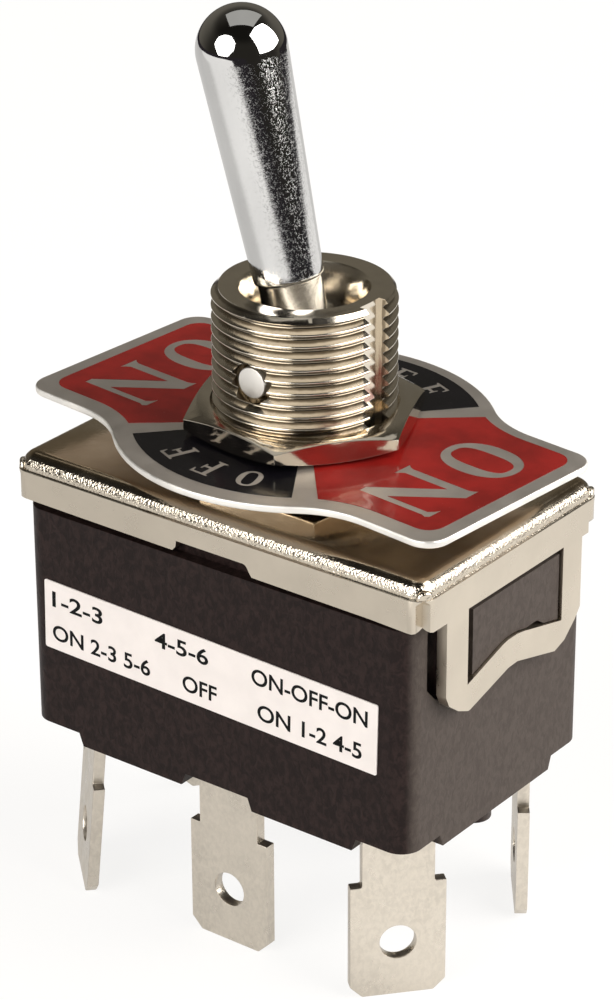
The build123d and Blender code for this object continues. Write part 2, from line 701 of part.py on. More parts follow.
# ---------------------------------------------------------------- lever
SHANK_END = 14.85
FOOT_ROUND = 0.7
TIP_STEP = 0.07  # the bat is this much wider than its dome
with BuildPart() as lever:
    with BuildSketch(lever_side):
        with BuildLine():
            Line((0, -SHANK_END), (SHANK_R - 0.3, -SHANK_END))
            Line((SHANK_R - 0.3, -SHANK_END), (SHANK_R, -SHANK_END + 0.3))
            ball_low = -sqrt(BALL_R**2 - SHANK_R**2)
            ball_high = sqrt(BALL_R**2 - NECK_R**2)
            Line((SHANK_R, -SHANK_END + 0.3), (SHANK_R, ball_low))
            ThreePointArc((SHANK_R, ball_low), (BALL_R, 0), (NECK_R, ball_high))
            Line((NECK_R, ball_high), (NECK_R, BAT_FOOT))
            foot_side = (BAT_FOOT_R, BAT_FOOT + FOOT_ROUND)
            foot_round = (BAT_FOOT_R - 0.05, BAT_FOOT + 0.25)
            ThreePointArc((NECK_R, BAT_FOOT), foot_round, foot_side)
            Line(foot_side, (TIP_R + TIP_STEP, LEVER_REACH))
            Line((TIP_R + TIP_STEP, LEVER_REACH), (TIP_R, LEVER_REACH))
            dome = (TIP_R * sin(radians(45)), LEVER_REACH + TIP_R * cos(radians(45)))
            ThreePointArc((TIP_R, LEVER_REACH), dome, (0, LEVER_REACH + TIP_R))
            Line((0, LEVER_REACH + TIP_R), (0, -SHANK_END))
        make_face()
    revolve(axis=lever_axis)
    with BuildSketch(Plane.XZ.offset(-BALL_R - CUT_ROOM)):
        with Locations((0, pivot_z)):
            Circle(PIN_R + PIN_PLAY)
    extrude(amount=2 * (BALL_R + CUT_ROOM), mode=Mode.SUBTRACT)
finish(lever, "lever")

ACTUATOR_TOP = -10.85
ACTUATOR_LOW = -16.45
ACTUATOR_HALF = 2.6
SPRING_TOP = -11.6
SPRING_LOW = -13.6
SADDLE_ROOM = 4.4  # the actuator reaches this far past the plungers' spacing
COIL_R = 0.95
COIL_PITCH = 0.52
WIRE_R = 0.15
bore_r = PLUNGER_R + 0.05
with BuildPart() as actuator:
    with BuildSketch(lever_square.offset(ACTUATOR_LOW)):
        RectangleRounded(2 * ACTUATOR_HALF, 2 * POLE_Y + SADDLE_ROOM, 1.0)
    extrude(amount=ACTUATOR_TOP - ACTUATOR_LOW)
    with BuildSketch(lever_square.offset(-SHANK_END)):
        Circle(SHANK_R)
    extrude(amount=SHANK_END + ACTUATOR_TOP, mode=Mode.SUBTRACT)
    with BuildSketch(lever_square.offset(ACTUATOR_LOW)):
        with Locations((0, -POLE_Y), (0, POLE_Y)):
            Circle(bore_r)
    extrude(amount=SPRING_TOP - ACTUATOR_LOW, mode=Mode.SUBTRACT)
finish(actuator, "actuator")

for side, row in ((-1, "front"), (1, "rear")):
    pole_side = Plane(
        origin=(0, side * POLE_Y, pivot_z), x_dir=lever_side.x_dir, z_dir=lever_side.z_dir
    )
    with BuildPart() as plunger:
        with BuildSketch(pole_side):
            with BuildLine():
                Line((0, SPRING_LOW), (PLUNGER_R, SPRING_LOW))
                Line((PLUNGER_R, SPRING_LOW), (PLUNGER_R, -TIP_SWING))
                low = PLUNGER_R * sin(radians(45))
                tip = (0, -TIP_SWING - PLUNGER_R)
                ThreePointArc((PLUNGER_R, -TIP_SWING), (low, -TIP_SWING - low), tip)
                Line(tip, (0, SPRING_LOW))
            make_face()
        revolve(axis=Axis(pole_side.origin, lean_up))
    finish(plunger, f"plunger_{row}")

    with BuildPart() as spring:
        coil_foot = lever_square.offset(SPRING_LOW + 0.2).from_local_coords((0, side * POLE_Y, 0))
        coil_length = SPRING_TOP - SPRING_LOW - 0.4
        with BuildLine():
            coil = Helix(COIL_PITCH, coil_length, COIL_R, center=coil_foot, direction=lean_up)
        with BuildSketch(Plane(origin=coil @ 0, z_dir=coil % 0)):
            Circle(WIRE_R)
        sweep(path=coil, is_frenet=True)
    finish(spring, f"spring_{row}")

# ---------------------------------------------------------------- rockers
tilt = radians(ROCKER_TILT)
HUMP_X = 5.4
strip_r = dish_r + STRIP
hump_z = dish_centre - sqrt(dish_r**2 - HUMP_X**2)
under_z = dish_centre - sqrt(strip_r**2 - (HUMP_X - 0.4) ** 2)
ARM_END = 12.2
CONTACT_R = 1.6
contact_rim = MOVING_CONTACT - CONTACT_DOME + sqrt(CONTACT_DOME**2 - CONTACT_R**2)
for side, row in ((-1, "front"), (1, "rear")):
    rocker_side = Plane(
        origin=(0, side * POLE_Y, rocker_z), x_dir=(cos(tilt), 0, -sin(tilt)), z_dir=(0, -1, 0)
    )
    rocker_flat = Plane(
        origin=(0, side * POLE_Y, rocker_z), x_dir=rocker_side.x_dir, z_dir=rocker_side.y_dir
    )
    with BuildPart() as rocker:
        with BuildSketch(rocker_side):
            with BuildLine():
                ThreePointArc((HUMP_X, hump_z), (0, dish_centre - dish_r), (-HUMP_X, hump_z))
                Polyline(
                    (-HUMP_X, hump_z),
                    (-HUMP_X - 0.8, hump_z - 0.1),
                    (-HUMP_X - 2.0, STRIP),
                    (-ARM_END, STRIP),
                    (-ARM_END, 0),
                    (-HUMP_X - 1.4, 0),
                    (-HUMP_X + 0.4, under_z),
                )
                ThreePointArc(
                    (-HUMP_X + 0.4, under_z), (0, dish_centre - strip_r), (HUMP_X - 0.4, under_z)
                )
                Polyline(
                    (HUMP_X - 0.4, under_z),
                    (HUMP_X + 1.4, 0),
                    (ARM_END, 0),
                    (ARM_END, STRIP),
                    (HUMP_X + 2.0, STRIP),
                    (HUMP_X + 0.8, hump_z - 0.1),
                    (HUMP_X, hump_z),
                )
            make_face()
        extrude(amount=ROCKER_WIDTH / 2, both=True)
        with BuildSketch(rocker_side):
            Circle(TRUNNION_R)
        extrude(amount=ear_inner + EAR + 0.05, both=True)
    finish(rocker, f"rocker_{row}")
    for end_x, end in ((-1, "left"), (1, "right")):
        contact_face = Plane(
            origin=rocker_flat.from_local_coords((end_x * CONTACT_X, 0, 0)),
            x_dir=rocker_side.x_dir,
            z_dir=rocker_side.z_dir,
        )
        with BuildPart() as moving_contact:
            with BuildSketch(contact_face):
                with BuildLine():
                    Polyline((0, -MOVING_CONTACT), (0, 0), (CONTACT_R, 0), (CONTACT_R, -contact_rim))
                    RadiusArc((CONTACT_R, -contact_rim), (0, -MOVING_CONTACT), CONTACT_DOME)
                make_face()
            revolve(axis=Axis(contact_face.origin, rocker_flat.z_dir))
        finish(moving_contact, f"moving_contact_{row}_{end}")
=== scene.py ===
"""Finishes and fine pieces of a bat-handle toggle switch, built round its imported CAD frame."""

from math import atan2, cos, degrees, pi, radians, sin, sqrt

import bpy
from mathutils import Matrix, Vector


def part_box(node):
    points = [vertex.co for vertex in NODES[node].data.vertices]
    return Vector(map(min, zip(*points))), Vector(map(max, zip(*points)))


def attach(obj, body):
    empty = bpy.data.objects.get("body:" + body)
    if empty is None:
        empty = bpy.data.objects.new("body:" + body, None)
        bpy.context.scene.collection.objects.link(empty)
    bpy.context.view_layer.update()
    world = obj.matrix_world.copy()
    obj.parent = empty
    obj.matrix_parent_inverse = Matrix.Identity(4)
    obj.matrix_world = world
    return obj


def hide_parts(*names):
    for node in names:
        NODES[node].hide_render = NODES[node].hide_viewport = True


bl_info = {
    "name": "Toggle switch finishes",
    "version": (1, 0, 0),
    "blender": (4, 5, 0),
    "location": "View3D > Sidebar > Switch",
    "description": "Threads, enamel, print and finishes for a panel toggle switch, and its studio",
    "category": "Object",
}

MM = 0.001
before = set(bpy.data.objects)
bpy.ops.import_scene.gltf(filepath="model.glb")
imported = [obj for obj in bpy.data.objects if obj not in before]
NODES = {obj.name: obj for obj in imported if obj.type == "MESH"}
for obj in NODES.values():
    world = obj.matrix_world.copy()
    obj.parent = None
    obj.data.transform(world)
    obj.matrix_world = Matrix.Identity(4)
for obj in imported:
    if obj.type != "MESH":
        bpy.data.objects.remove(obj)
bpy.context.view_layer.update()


def low(node):
    """Lowest corner of a CAD node, in millimetres."""
    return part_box(node)[0] / MM


def high(node):
    """Highest corner of a CAD node, in millimetres."""
    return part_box(node)[1] / MM


# levels and reaches of the frame, in millimetres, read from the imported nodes
LID_TOP = high("top_frame").z
RIM = high("bushing").z
FLANGE_LOW = low("bushing").z
FLANGE_R = high("bushing").x
LID_SHEET = 0.75
LID_UNDER = LID_TOP - LID_SHEET
PIN_Z = (low("pivot_pin").z + high("pivot_pin").z) / 2
PIN_R = (high("pivot_pin").z - low("pivot_pin").z) / 2
PIN_HALF = high("pivot_pin").y
NUT_BORE = 5.71
CROSSWISE = Matrix.Rotation(radians(90), 4, "X")


# ------------------------------------------------------------------ sizes and colours
def millimetres(name, text, value):
    return bpy.props.FloatProperty(name=name, description=text, default=value, unit="NONE", precision=3)


def setting(name, text, value, unit="NONE"):
    return bpy.props.FloatProperty(name=name, description=text, default=value, unit=unit)


def colour(name, text, value):
    return bpy.props.FloatVectorProperty(
        name=name, description=text, default=value, subtype="COLOR", size=3, min=0.0, max=1.0
    )


class ThreadSizes(bpy.types.PropertyGroup):
    """The bushing's thread and mouth, in millimetres."""

    radius: millimetres("Radius", "Major radius of the thread", 5.95)
    pitch: millimetres("Pitch", "Rise of the thread in one turn", 0.794)
    chamfer: millimetres("Chamfer", "Lead-in chamfer at the rim", 0.35)
    mouth: millimetres("Mouth", "Radius of the mouth at the rim", 4.12)
    bore: millimetres("Bore", "Radius of the bore below the mouth", 3.45)
    key_width: millimetres("Keyway width", "Width of the keyway", 2.0)
    key_depth: millimetres("Keyway depth", "Depth of the keyway below the crests", 0.85)


class LegendSizes(bpy.types.PropertyGroup):
    """The legend plate's print, in millimetres and degrees."""

    turn: millimetres("Turn", "Turn of the plate about the bushing, in degrees", -5.0)
    rise_x: millimetres("Rise along X", "Rise of the plate per millimetre of X", -0.0113)
    rise_y: millimetres("Rise along Y", "Rise of the plate per millimetre of Y", 0.0074)
    border: millimetres("Border", "Bare metal left round the print", 1.1)
    thick: millimetres("Thickness", "Thickness of the plate", 0.5)
    coat: millimetres("Enamel", "Thickness of the enamel", 0.02)
    offset: millimetres("Offset", "Print's offset from the middle of the plate", 0.2)


class LeverSizes(bpy.types.PropertyGroup):
    """The bat lever, in millimetres along its axis from the pin, and degrees."""

    lean: millimetres("Lean", "Lean from upright towards -X, in degrees", 14.0)
    ball: millimetres("Ball", "Radius of the ball round the pin", 3.3)
    shank: millimetres("Shank", "Radius of the shank inside the body", 1.9)
    shank_end: millimetres("Shank end", "Pin to the lower end of the shank", 14.85)
    neck: millimetres("Neck", "Radius of the neck", 2.05)
    foot: millimetres("Foot", "Pin to the lower end of the bat", 5.15)
    foot_radius: millimetres("Foot radius", "Radius of the bat at its foot", 2.27)
    reach: millimetres("Reach", "Pin to the centre of the dome", 19.945)
    dome: millimetres("Dome", "Radius of the domed tip", 2.91)


class LabelSizes(bpy.types.PropertyGroup):
    """The side label's print, in millimetres and degrees."""

    turn: millimetres("Turn", "Turn of the label on the base, in degrees", -1.2)
    across: millimetres("Across", "Place of the label's middle along X", -0.43)
    drop: millimetres("Drop", "Lid to the label's middle", 11.23)
    capital: millimetres("Capitals", "Height of the capitals", 1.17)
    ink: millimetres("Ink", "Thickness of the ink", 0.008)


class FinishColours(bpy.types.PropertyGroup):
    """Colours of the finishes."""

    nickel: colour("Nickel", "Bright nickel on the frame", (0.64, 0.57, 0.47))
    bushing: colour("Bushing", "Nickel on the bushing and nuts", (0.76, 0.69, 0.58))
    tin: colour("Tin", "Tinned blades", (0.72, 0.655, 0.56))
    chrome: colour("Chrome", "Lever", (0.68, 0.675, 0.665))
    aluminium: colour("Aluminium", "Legend plate", (0.56, 0.515, 0.47))
    red: colour("Red", "Enamel of the ON wings", (0.22, 0.010, 0.008))
    black: colour("Black", "Enamel of the OFF sectors", (0.004, 0.0035, 0.005))
    phenolic: colour("Phenolic", "Moulded base", (0.0165, 0.0095, 0.0085))
    paper: colour("Label", "Label stock", (0.74, 0.685, 0.66))


class StudioSettings(bpy.types.PropertyGroup):
    """Camera and lamps."""

    lens: setting("Lens", "Focal length on a 36 mm sensor", 124.43)
    distance: setting("Distance", "Camera to the bushing's axis", 0.22636, "LENGTH")
    azimuth: setting("Azimuth", "Camera's side, degrees from +X", -53.228)
    elevation: setting("Elevation", "Camera's height angle, degrees", 25.352)
    left_lamp: setting("Left lamp", "Brightness of the left softbox", 5.0)
    right_lamp: setting("Right lamp", "Brightness of the right softbox", 5.0)
    ceiling: setting("Ceiling", "Brightness of the ceiling panel", 0.5)


# ------------------------------------------------------------------ mesh helpers
def only(obj):
    """Make obj the one selected and active object."""
    if bpy.context.object and bpy.context.object.mode != "OBJECT":
        bpy.ops.object.mode_set(mode="OBJECT")
    bpy.ops.object.select_all(action="DESELECT")
    obj.select_set(True)
    bpy.context.view_layer.objects.active = obj
    return obj


def edit(obj):
    """Open obj in edit mode with everything selected."""
    only(obj)
    bpy.ops.object.mode_set(mode="EDIT")
    bpy.ops.mesh.select_all(action="SELECT")


def done(obj):
    bpy.ops.object.mode_set(mode="OBJECT")
    return obj


def new_piece(name):
    """The object that an add operator has just made, under its own name."""
    obj = bpy.context.object
    obj.name = name
    obj.data.name = name
    return obj


def chain(name, points):
    """A chain of edges through the points, in millimetres, made by extruding a vertex."""
    bpy.ops.object.select_all(action="DESELECT")
    bpy.ops.mesh.primitive_plane_add(size=MM, location=(0, 0, 0))
    obj = new_piece(name)
    edit(obj)
    bpy.ops.mesh.merge(type="CENTER")
    here = Vector((0, 0, 0))
    for count, point in enumerate(points):
        there = Vector(point) * MM
        if count == 0:
            bpy.ops.transform.translate(value=there)
        else:
            bpy.ops.mesh.extrude_region_move(TRANSFORM_OT_translate={"value": there - here})
        here = there
    return done(obj)


def close_up(obj, gap=1e-6):
    """Merge doubles and turn the faces outwards."""
    edit(obj)
    bpy.ops.mesh.remove_doubles(threshold=gap)
    bpy.ops.mesh.select_all(action="SELECT")
    bpy.ops.mesh.normals_make_consistent(inside=False)
    return done(obj)


def lathe(name, profile, steps=96):
    """A body of revolution about Z from (radius, height) pairs in millimetres, which start and end
    on the axis or form a closed ring."""
    obj = chain(name, [(r, 0, z) for r, z in profile])
    edit(obj)
    bpy.ops.mesh.spin(steps=steps, angle=2 * pi, center=(0, 0, 0), axis=(0, 0, 1))
    done(obj)
    return close_up(obj)


def ring(name, profile, steps=96):
    """As lathe, for a closed section that doesn't reach the axis."""
    return lathe(name, list(profile) + [profile[0]], steps)


def prism(name, loop, bottom, top):
    """A straight prism along Z from a closed loop of (x, y), in millimetres."""
    obj = chain(name, [(x, y, bottom) for x, y in (*loop, loop[0])])
    edit(obj)
    bpy.ops.mesh.remove_doubles(threshold=1e-7)
    bpy.ops.mesh.edge_face_add()
    bpy.ops.mesh.extrude_region_move(TRANSFORM_OT_translate={"value": (0, 0, (top - bottom) * MM)})
    done(obj)
    return close_up(obj, 1e-7)


def trim(obj, level, upwards):
    """Cut a closed mesh off flat at a level in millimetres, and cap it."""
    edit(obj)
    bpy.ops.mesh.bisect(
        plane_co=(0, 0, level * MM),
        plane_no=(0, 0, 1 if upwards else -1),
        use_fill=True,
        clear_outer=True,
        clear_inner=False,
        threshold=1e-8,
    )
    return done(obj)


def modify(obj, kind, **settings):
    """Add a modifier, set it and apply it."""
    only(obj)
    modifier = obj.modifiers.new(kind.lower(), kind)
    for key, value in settings.items():
        setattr(modifier, key, value)
    bpy.ops.object.modifier_apply(modifier=modifier.name)
    return obj


def cut(obj, tool):
    """Take a tool's shape out of obj; the tool is used up."""
    modify(obj, "BOOLEAN", object=tool, operation="DIFFERENCE", solver="EXACT")
    bpy.data.objects.remove(tool)
    return obj


def move(obj, matrix):
    """Put a finished mesh in its place, leaving the object at the origin."""
    only(obj)
    obj.matrix_world = matrix @ obj.matrix_world
    bpy.ops.object.transform_apply(location=True, rotation=True, scale=True)
    return obj


def smooth(obj, angle=30):
    only(obj)
    bpy.ops.object.shade_smooth_by_angle(angle=radians(angle))
    return obj


def bevelled_copy(node, name, width, angle=32, segments=2):
    """A merged copy of a CAD node's mesh with its sharp edges rounded, width in millimetres."""
    source = NODES[node]
    obj = source.copy()
    obj.data = source.data.copy()
    obj.parent = None
    for key in list(obj.keys()):
        del obj[key]
    obj.name = name
    obj.data.name = name
    bpy.context.scene.collection.objects.link(obj)
    edit(obj)
    bpy.ops.mesh.customdata_custom_splitnormals_clear()
    bpy.ops.mesh.remove_doubles(threshold=2e-7)
    bpy.ops.mesh.dissolve_limited(angle_limit=radians(0.6))
    done(obj)
    modify(
        obj,
        "BEVEL",
        width=width * MM,
        segments=segments,
        limit_method="ANGLE",
        angle_limit=radians(angle),
        use_clamp_overlap=True,
        miter_outer="MITER_ARC",
        harden_normals=False,
    )
    smooth(obj, 30)
    modify(obj, "WEIGHTED_NORMAL", weight=100, keep_sharp=True)
    return obj


# ------------------------------------------------------------------ node helpers
class Finish:
    """A material and a short way to add and join its nodes."""

    def __init__(self, name, **shader):
        self.material = bpy.data.materials.new(name)
        self.material.use_nodes = True
        self.tree = self.material.node_tree
        self.shader = self.tree.nodes["Principled BSDF"]
        self.set(self.shader, shader)
        self.place = self.add("TexCoord").outputs["Object"]

    def set(self, node, inputs):
        """Set or link inputs, each given by its number (i0, i1) or its name with underscores."""
        for key, value in inputs.items():
            numbered = key[0] == "i" and key[1:].isdigit()
            socket = node.inputs[int(key[1:]) if numbered else key.replace("_", " ")]
            if isinstance(value, bpy.types.NodeSocket):
                self.tree.links.new(value, socket)
            elif socket.type == "RGBA" and len(value) == 3:
                socket.default_value = (*value, 1.0)
            else:
                socket.default_value = value

    def add(self, kind, options=None, **inputs):
        node = self.tree.nodes.new("ShaderNode" + kind)
        for key, value in (options or {}).items():
            setattr(node, key, value)
        self.set(node, inputs)
        return node

    def math(self, operation, first, second=0.0):
        return self.add("Math", {"operation": operation}, i0=first, i1=second).outputs[0]

    def times(self, first, second):
        return self.math("MULTIPLY", first, second)

    def larger(self, first, second):
        return self.math("MAXIMUM", first, second)

    def ramp(self, value, from_low, from_high, to_low=0.0, to_high=1.0):
        """value mapped smoothly from one range to another, clamped."""
        node = self.add(
            "MapRange",
            {"interpolation_type": "SMOOTHSTEP"},
            Value=value,
            From_Min=from_low,
            From_Max=from_high,
            To_Min=to_low,
            To_Max=to_high,
        )
        return node.outputs["Result"]

    def split(self, vector):
        return self.add("SeparateXYZ", Vector=vector).outputs

    def scaled(self, x, y, z):
        """Object coordinates in patterns per metre along each axis."""
        return self.add("Mapping", Vector=self.place, Scale=(x, y, z)).outputs["Vector"]

    def noise(self, vector, detail=3.0, rough=0.55, distortion=0.0):
        return self.add(
            "TexNoise", Vector=vector, Scale=1.0, Detail=detail, Roughness=rough, Distortion=distortion
        ).outputs["Fac"]

    def mix(self, factor, first, second):
        """Colour between first and second."""
        return self.add("Mix", {"data_type": "RGBA"}, i0=factor, i6=first, i7=second).outputs[2]

    def between(self, factor, first, second):
        """Number between first and second."""
        return self.add("Mix", i0=factor, i2=first, i3=second).outputs[0]

    def tones(self, pattern, tone, dark, bright):
        """A tone between two shades of itself, as the pattern goes from 0.3 to 0.7."""
        return self.mix(self.ramp(pattern, 0.3, 0.7), shade(tone, dark), shade(tone, bright))

    def bump(self, height, distance, normal=None):
        """Relief of the given depth in millimetres, over the relief in normal."""
        inputs = dict(Height=height, Distance=distance * MM, Strength=1.0)
        if normal is not None:
            inputs["Normal"] = normal
        return self.add("Bump", **inputs).outputs["Normal"]

    def give(self, **inputs):
        self.set(self.shader, inputs)


def shade(rgb, factor):
    return tuple(min(1.0, c * factor) for c in rgb)


def paint(obj, finish):
    """Put one finish on every slot of a piece."""
    if not obj.data.materials:
        obj.data.materials.append(finish.material)
    for slot in obj.material_slots:
        slot.material = finish.material


# ------------------------------------------------------------------ finishes
def metal(name, tone, rough, grain=(3000, 3000, 3000), wear=0.06, bump=0.004):
    """Plated metal: slow changes of tone and gloss, and a fine grain."""
    f = Finish(name, Metallic=1.0)
    cloud = f.noise(f.scaled(260, 260, 260), detail=4)
    fine = f.noise(f.scaled(*grain), detail=3, rough=0.6)
    gloss = f.noise(f.scaled(700, 700, 700), detail=5)
    f.give(
        Base_Color=f.mix(f.ramp(cloud, 0.35, 0.7), shade(tone, 1.0 - wear), shade(tone, 1.0 + wear)),
        Roughness=f.ramp(gloss, 0.3, 0.7, rough * 0.8, rough * 1.25),
        Normal=f.bump(fine, bump),
    )
    return f


def bushing_nickel(tone, t):
    """Nickel on the bushing, with painted shade darkening the thread's roots and round the cross pin.
    """
    f = metal("bushing_nickel", tone, 0.15, (2500, 2500, 2500), 0.05, 0.004)
    parts = f.split(f.place)

    def reach(one, other):
        return f.math("SQRT", f.math("ADD", f.times(one, one), f.times(other, other)))

    patches = f.ramp(f.noise(f.scaled(900, 900, 900), detail=5), 0.3, 0.75, 0.0, 0.10)
    radius = f.math("SUBTRACT", reach(parts["X"], parts["Y"]), f.times(patches, MM))
    # painted shade: dark brown in the thread's roots and round the cross pin, none on the crests, the
    # keyway's floor, the mouth and the rim
    roots = f.ramp(radius, (t.radius - 0.42) * MM, (t.radius - 0.24) * MM, 0.30, 1.0)
    keyway = f.ramp(radius, (t.radius - 0.62) * MM, (t.radius - 0.55) * MM, 1.0, 0.0)
    mouth = f.ramp(radius, (t.mouth + 0.9) * MM, (t.mouth + 0.95) * MM, 1.0, 0.0)
    rim = f.ramp(parts["Z"], (RIM - 0.1) * MM, (RIM - 0.05) * MM)
    threads = f.larger(f.larger(f.larger(roots, keyway), mouth), rim)
    pin = reach(parts["X"], f.math("SUBTRACT", parts["Z"], PIN_Z * MM))
    unshaded = f.times(threads, f.ramp(pin, 1.36 * MM, 1.42 * MM, 0.02, 1.0))
    plated = f.shader.inputs["Base Color"].links[0].from_socket
    # painted shade: dark brown mixed over the plating where the mask is low
    f.give(Base_Color=f.mix(unshaded, shade((0.30, 0.23, 0.14), 0.5), plated))
    return f


def frame_nickel(tone):
    """Satin skirts, a brighter lid with a painted brown reflection on its flat, and the pebbled skin of
    the coined bends.
    """
    f = Finish("frame_nickel", Metallic=1.0)
    z = f.split(f.place)["Z"]
    bend = f.times(
        f.ramp(z, (LID_TOP - 1.17) * MM, (LID_TOP - 1.10) * MM),
        f.ramp(z, (LID_TOP - 0.46) * MM, (LID_TOP - 0.28) * MM, 1.0, 0.0),
    )
    lid = f.ramp(z, (LID_TOP - 1.25) * MM, (LID_TOP - 1.05) * MM)
    cloud = f.noise(f.scaled(150, 150, 150), detail=5)
    grain = f.noise(f.scaled(2600, 2600, 900), detail=3)
    pebble = f.noise(f.scaled(6400, 6400, 6400), detail=1, rough=0.6)
    smudge = f.noise(f.scaled(420, 420, 420), detail=6, rough=0.65)
    dents = f.noise(f.scaled(160, 160, 160), detail=1)
    satin = f.ramp(smudge, 0.3, 0.72, 0.26, 0.36)
    polished = f.ramp(smudge, 0.35, 0.75, 0.12, 0.20)
    lifted = f.bump(grain, 0.005, f.bump(dents, 0.05))
    # painted reflection: the flat of the lid is tinted brown for the brown studio it mirrors
    painted_brown_reflection = f.mix(f.ramp(cloud, 0.35, 0.65), (0.54, 0.423, 0.288), (0.693, 0.588, 0.4515))
    flat = f.ramp(z, (LID_TOP - 0.35) * MM, (LID_TOP - 0.15) * MM)
    f.give(
        Base_Color=f.mix(flat, f.tones(cloud, tone, 0.94, 1.05), painted_brown_reflection),
        Roughness=f.between(lid, satin, polished),
        Normal=f.bump(f.times(pebble, bend), 0.044, lifted),
    )
    return f


def lever_chrome(tone, lean):
    """Chrome over a turned bat: fine rings and mottling break up the edges of what it mirrors."""
    f = Finish("lever_chrome", Metallic=1.0)
    upright = f.add("Mapping", Vector=f.place, Rotation=(0, radians(lean), 0)).outputs["Vector"]

    def along(around, length):
        return f.add("Mapping", Vector=upright, Scale=(around, around, length)).outputs["Vector"]

    rings = f.noise(along(1300, 4600), detail=4, rough=0.75)
    mottle = f.noise(along(7400, 5200), detail=4, rough=0.75)
    specks = f.ramp(mottle, 0.52, 0.66)
    cloud = f.noise(along(300, 130), detail=4)
    # the dome is polished brighter than the bat
    height = f.math("SUBTRACT", f.split(upright)["Z"], PIN_Z * MM * cos(radians(lean)))
    bat = f.ramp(height, 19.3 * MM, 19.6 * MM, 1.0, 0.0)
    skin = f.math("ADD", f.times(rings, 0.9), f.times(specks, 0.6))
    f.give(
        Base_Color=f.tones(cloud, tone, 0.93, 1.04),
        Roughness=f.between(bat, 0.045, 0.07),
        Normal=f.bump(f.times(skin, bat), 0.0025),
    )
    return f


def tinned(tone):
    """Tin on the blades: dull, finely mottled, with slow changes of tone."""
    f = metal("tinned_blades", tone, 0.33, (1500, 1500, 1500), 0.06, 0.010)
    mottle = f.noise(f.scaled(3200, 3200, 2300), detail=4, rough=0.6, distortion=0.4)
    cloud = f.ramp(f.noise(f.scaled(190, 190, 190), detail=3), 0.35, 0.65)
    dull = f.mix(cloud, shade(tone, 0.90), shade(tone, 0.98))
    f.give(Base_Color=f.mix(f.ramp(mottle, 0.32, 0.68), dull, shade(tone, 1.06)))
    return f


def phenolic(tone):
    """Black moulding compound: flow ripples, filler specks, scuffs, and a painted sheen that makes the
    end faces paler.
    """
    f = Finish("phenolic", Specular_IOR_Level=0.13)
    flow = f.noise(f.scaled(2300, 2300, 1500), detail=4, rough=0.6, distortion=0.7)
    speck = f.noise(f.scaled(6500, 6500, 6500), detail=2)
    cloud = f.noise(f.scaled(220, 220, 220), detail=5)
    scuff = f.ramp(f.noise(f.scaled(3000, 3000, 3000), detail=6, rough=0.7), 0.70, 0.78)
    # the end faces have a duller skin, and are painted paler: a painted sheen for the light they catch
    ends = f.ramp(f.math("ABSOLUTE", f.split(f.place)["X"]), 14.9 * MM, 15.4 * MM)
    pale = f.mix(0.5, f.tones(cloud, tone, 0.8, 1.2), shade(tone, 1.7))
    moulded = f.mix(f.ramp(flow, 0.38, 0.66), shade(tone, 0.65), pale)
    # painted sheen: the paler tone of the end faces
    painted_end_sheen = f.mix(f.ramp(flow, 0.35, 0.65), (0.056, 0.044, 0.038), (0.072, 0.058, 0.050))
    f.give(
        Base_Color=f.mix(scuff, f.mix(ends, moulded, painted_end_sheen), shade(tone, 5.0)),
        Roughness=f.between(ends, f.ramp(cloud, 0.3, 0.7, 0.36, 0.46), 0.55),
        Normal=f.bump(speck, 0.006, f.bump(flow, 0.03)),
    )
    return f


def enamel(name, tone, speck_tone, gloss):
    """Glossy enamel with slow changes of tone and fine bright dust."""
    f = Finish(name, Coat_Weight=gloss, Coat_Roughness=0.05, Specular_IOR_Level=0.15)
    cloud = f.noise(f.scaled(300, 300, 300), detail=4)
    dust = f.ramp(f.noise(f.scaled(5000, 5000, 5000), detail=3, rough=0.65), 0.73, 0.79)
    flow = f.noise(f.scaled(1100, 1100, 1100), detail=3)
    f.give(
        Base_Color=f.mix(dust, f.tones(cloud, tone, 0.75, 1.2), speck_tone),
        Roughness=0.25,
        Normal=f.bump(flow, 0.006),
    )
    return f


def plate_aluminium(tone):
    """Lacquered aluminium sheet, matt and even."""
    f = metal("plate_aluminium", tone, 0.55, (4200, 4200, 4200), 0.05, 0.008)
    f.give(Roughness=f.ramp(f.noise(f.scaled(900, 900, 900), detail=3), 0.2, 0.8, 0.50, 0.58))
    return f


def plain(name, tone, rough, spread=0.15, scale=500, bump=0.01, **shader):
    """A quiet finish for moulded, woven or paper pieces."""
    f = Finish(name, **shader)
    cloud = f.noise(f.scaled(scale, scale, scale), detail=5)
    fine = f.noise(f.scaled(scale * 8, scale * 8, scale * 8), detail=3)
    f.give(
        Base_Color=f.tones(cloud, tone, 1 - spread, 1 + spread),
        Roughness=f.ramp(fine, 0.3, 0.7, rough * 0.85, rough * 1.15),
        Normal=f.bump(fine, bump),
    )
    return f


FINISHES = {}


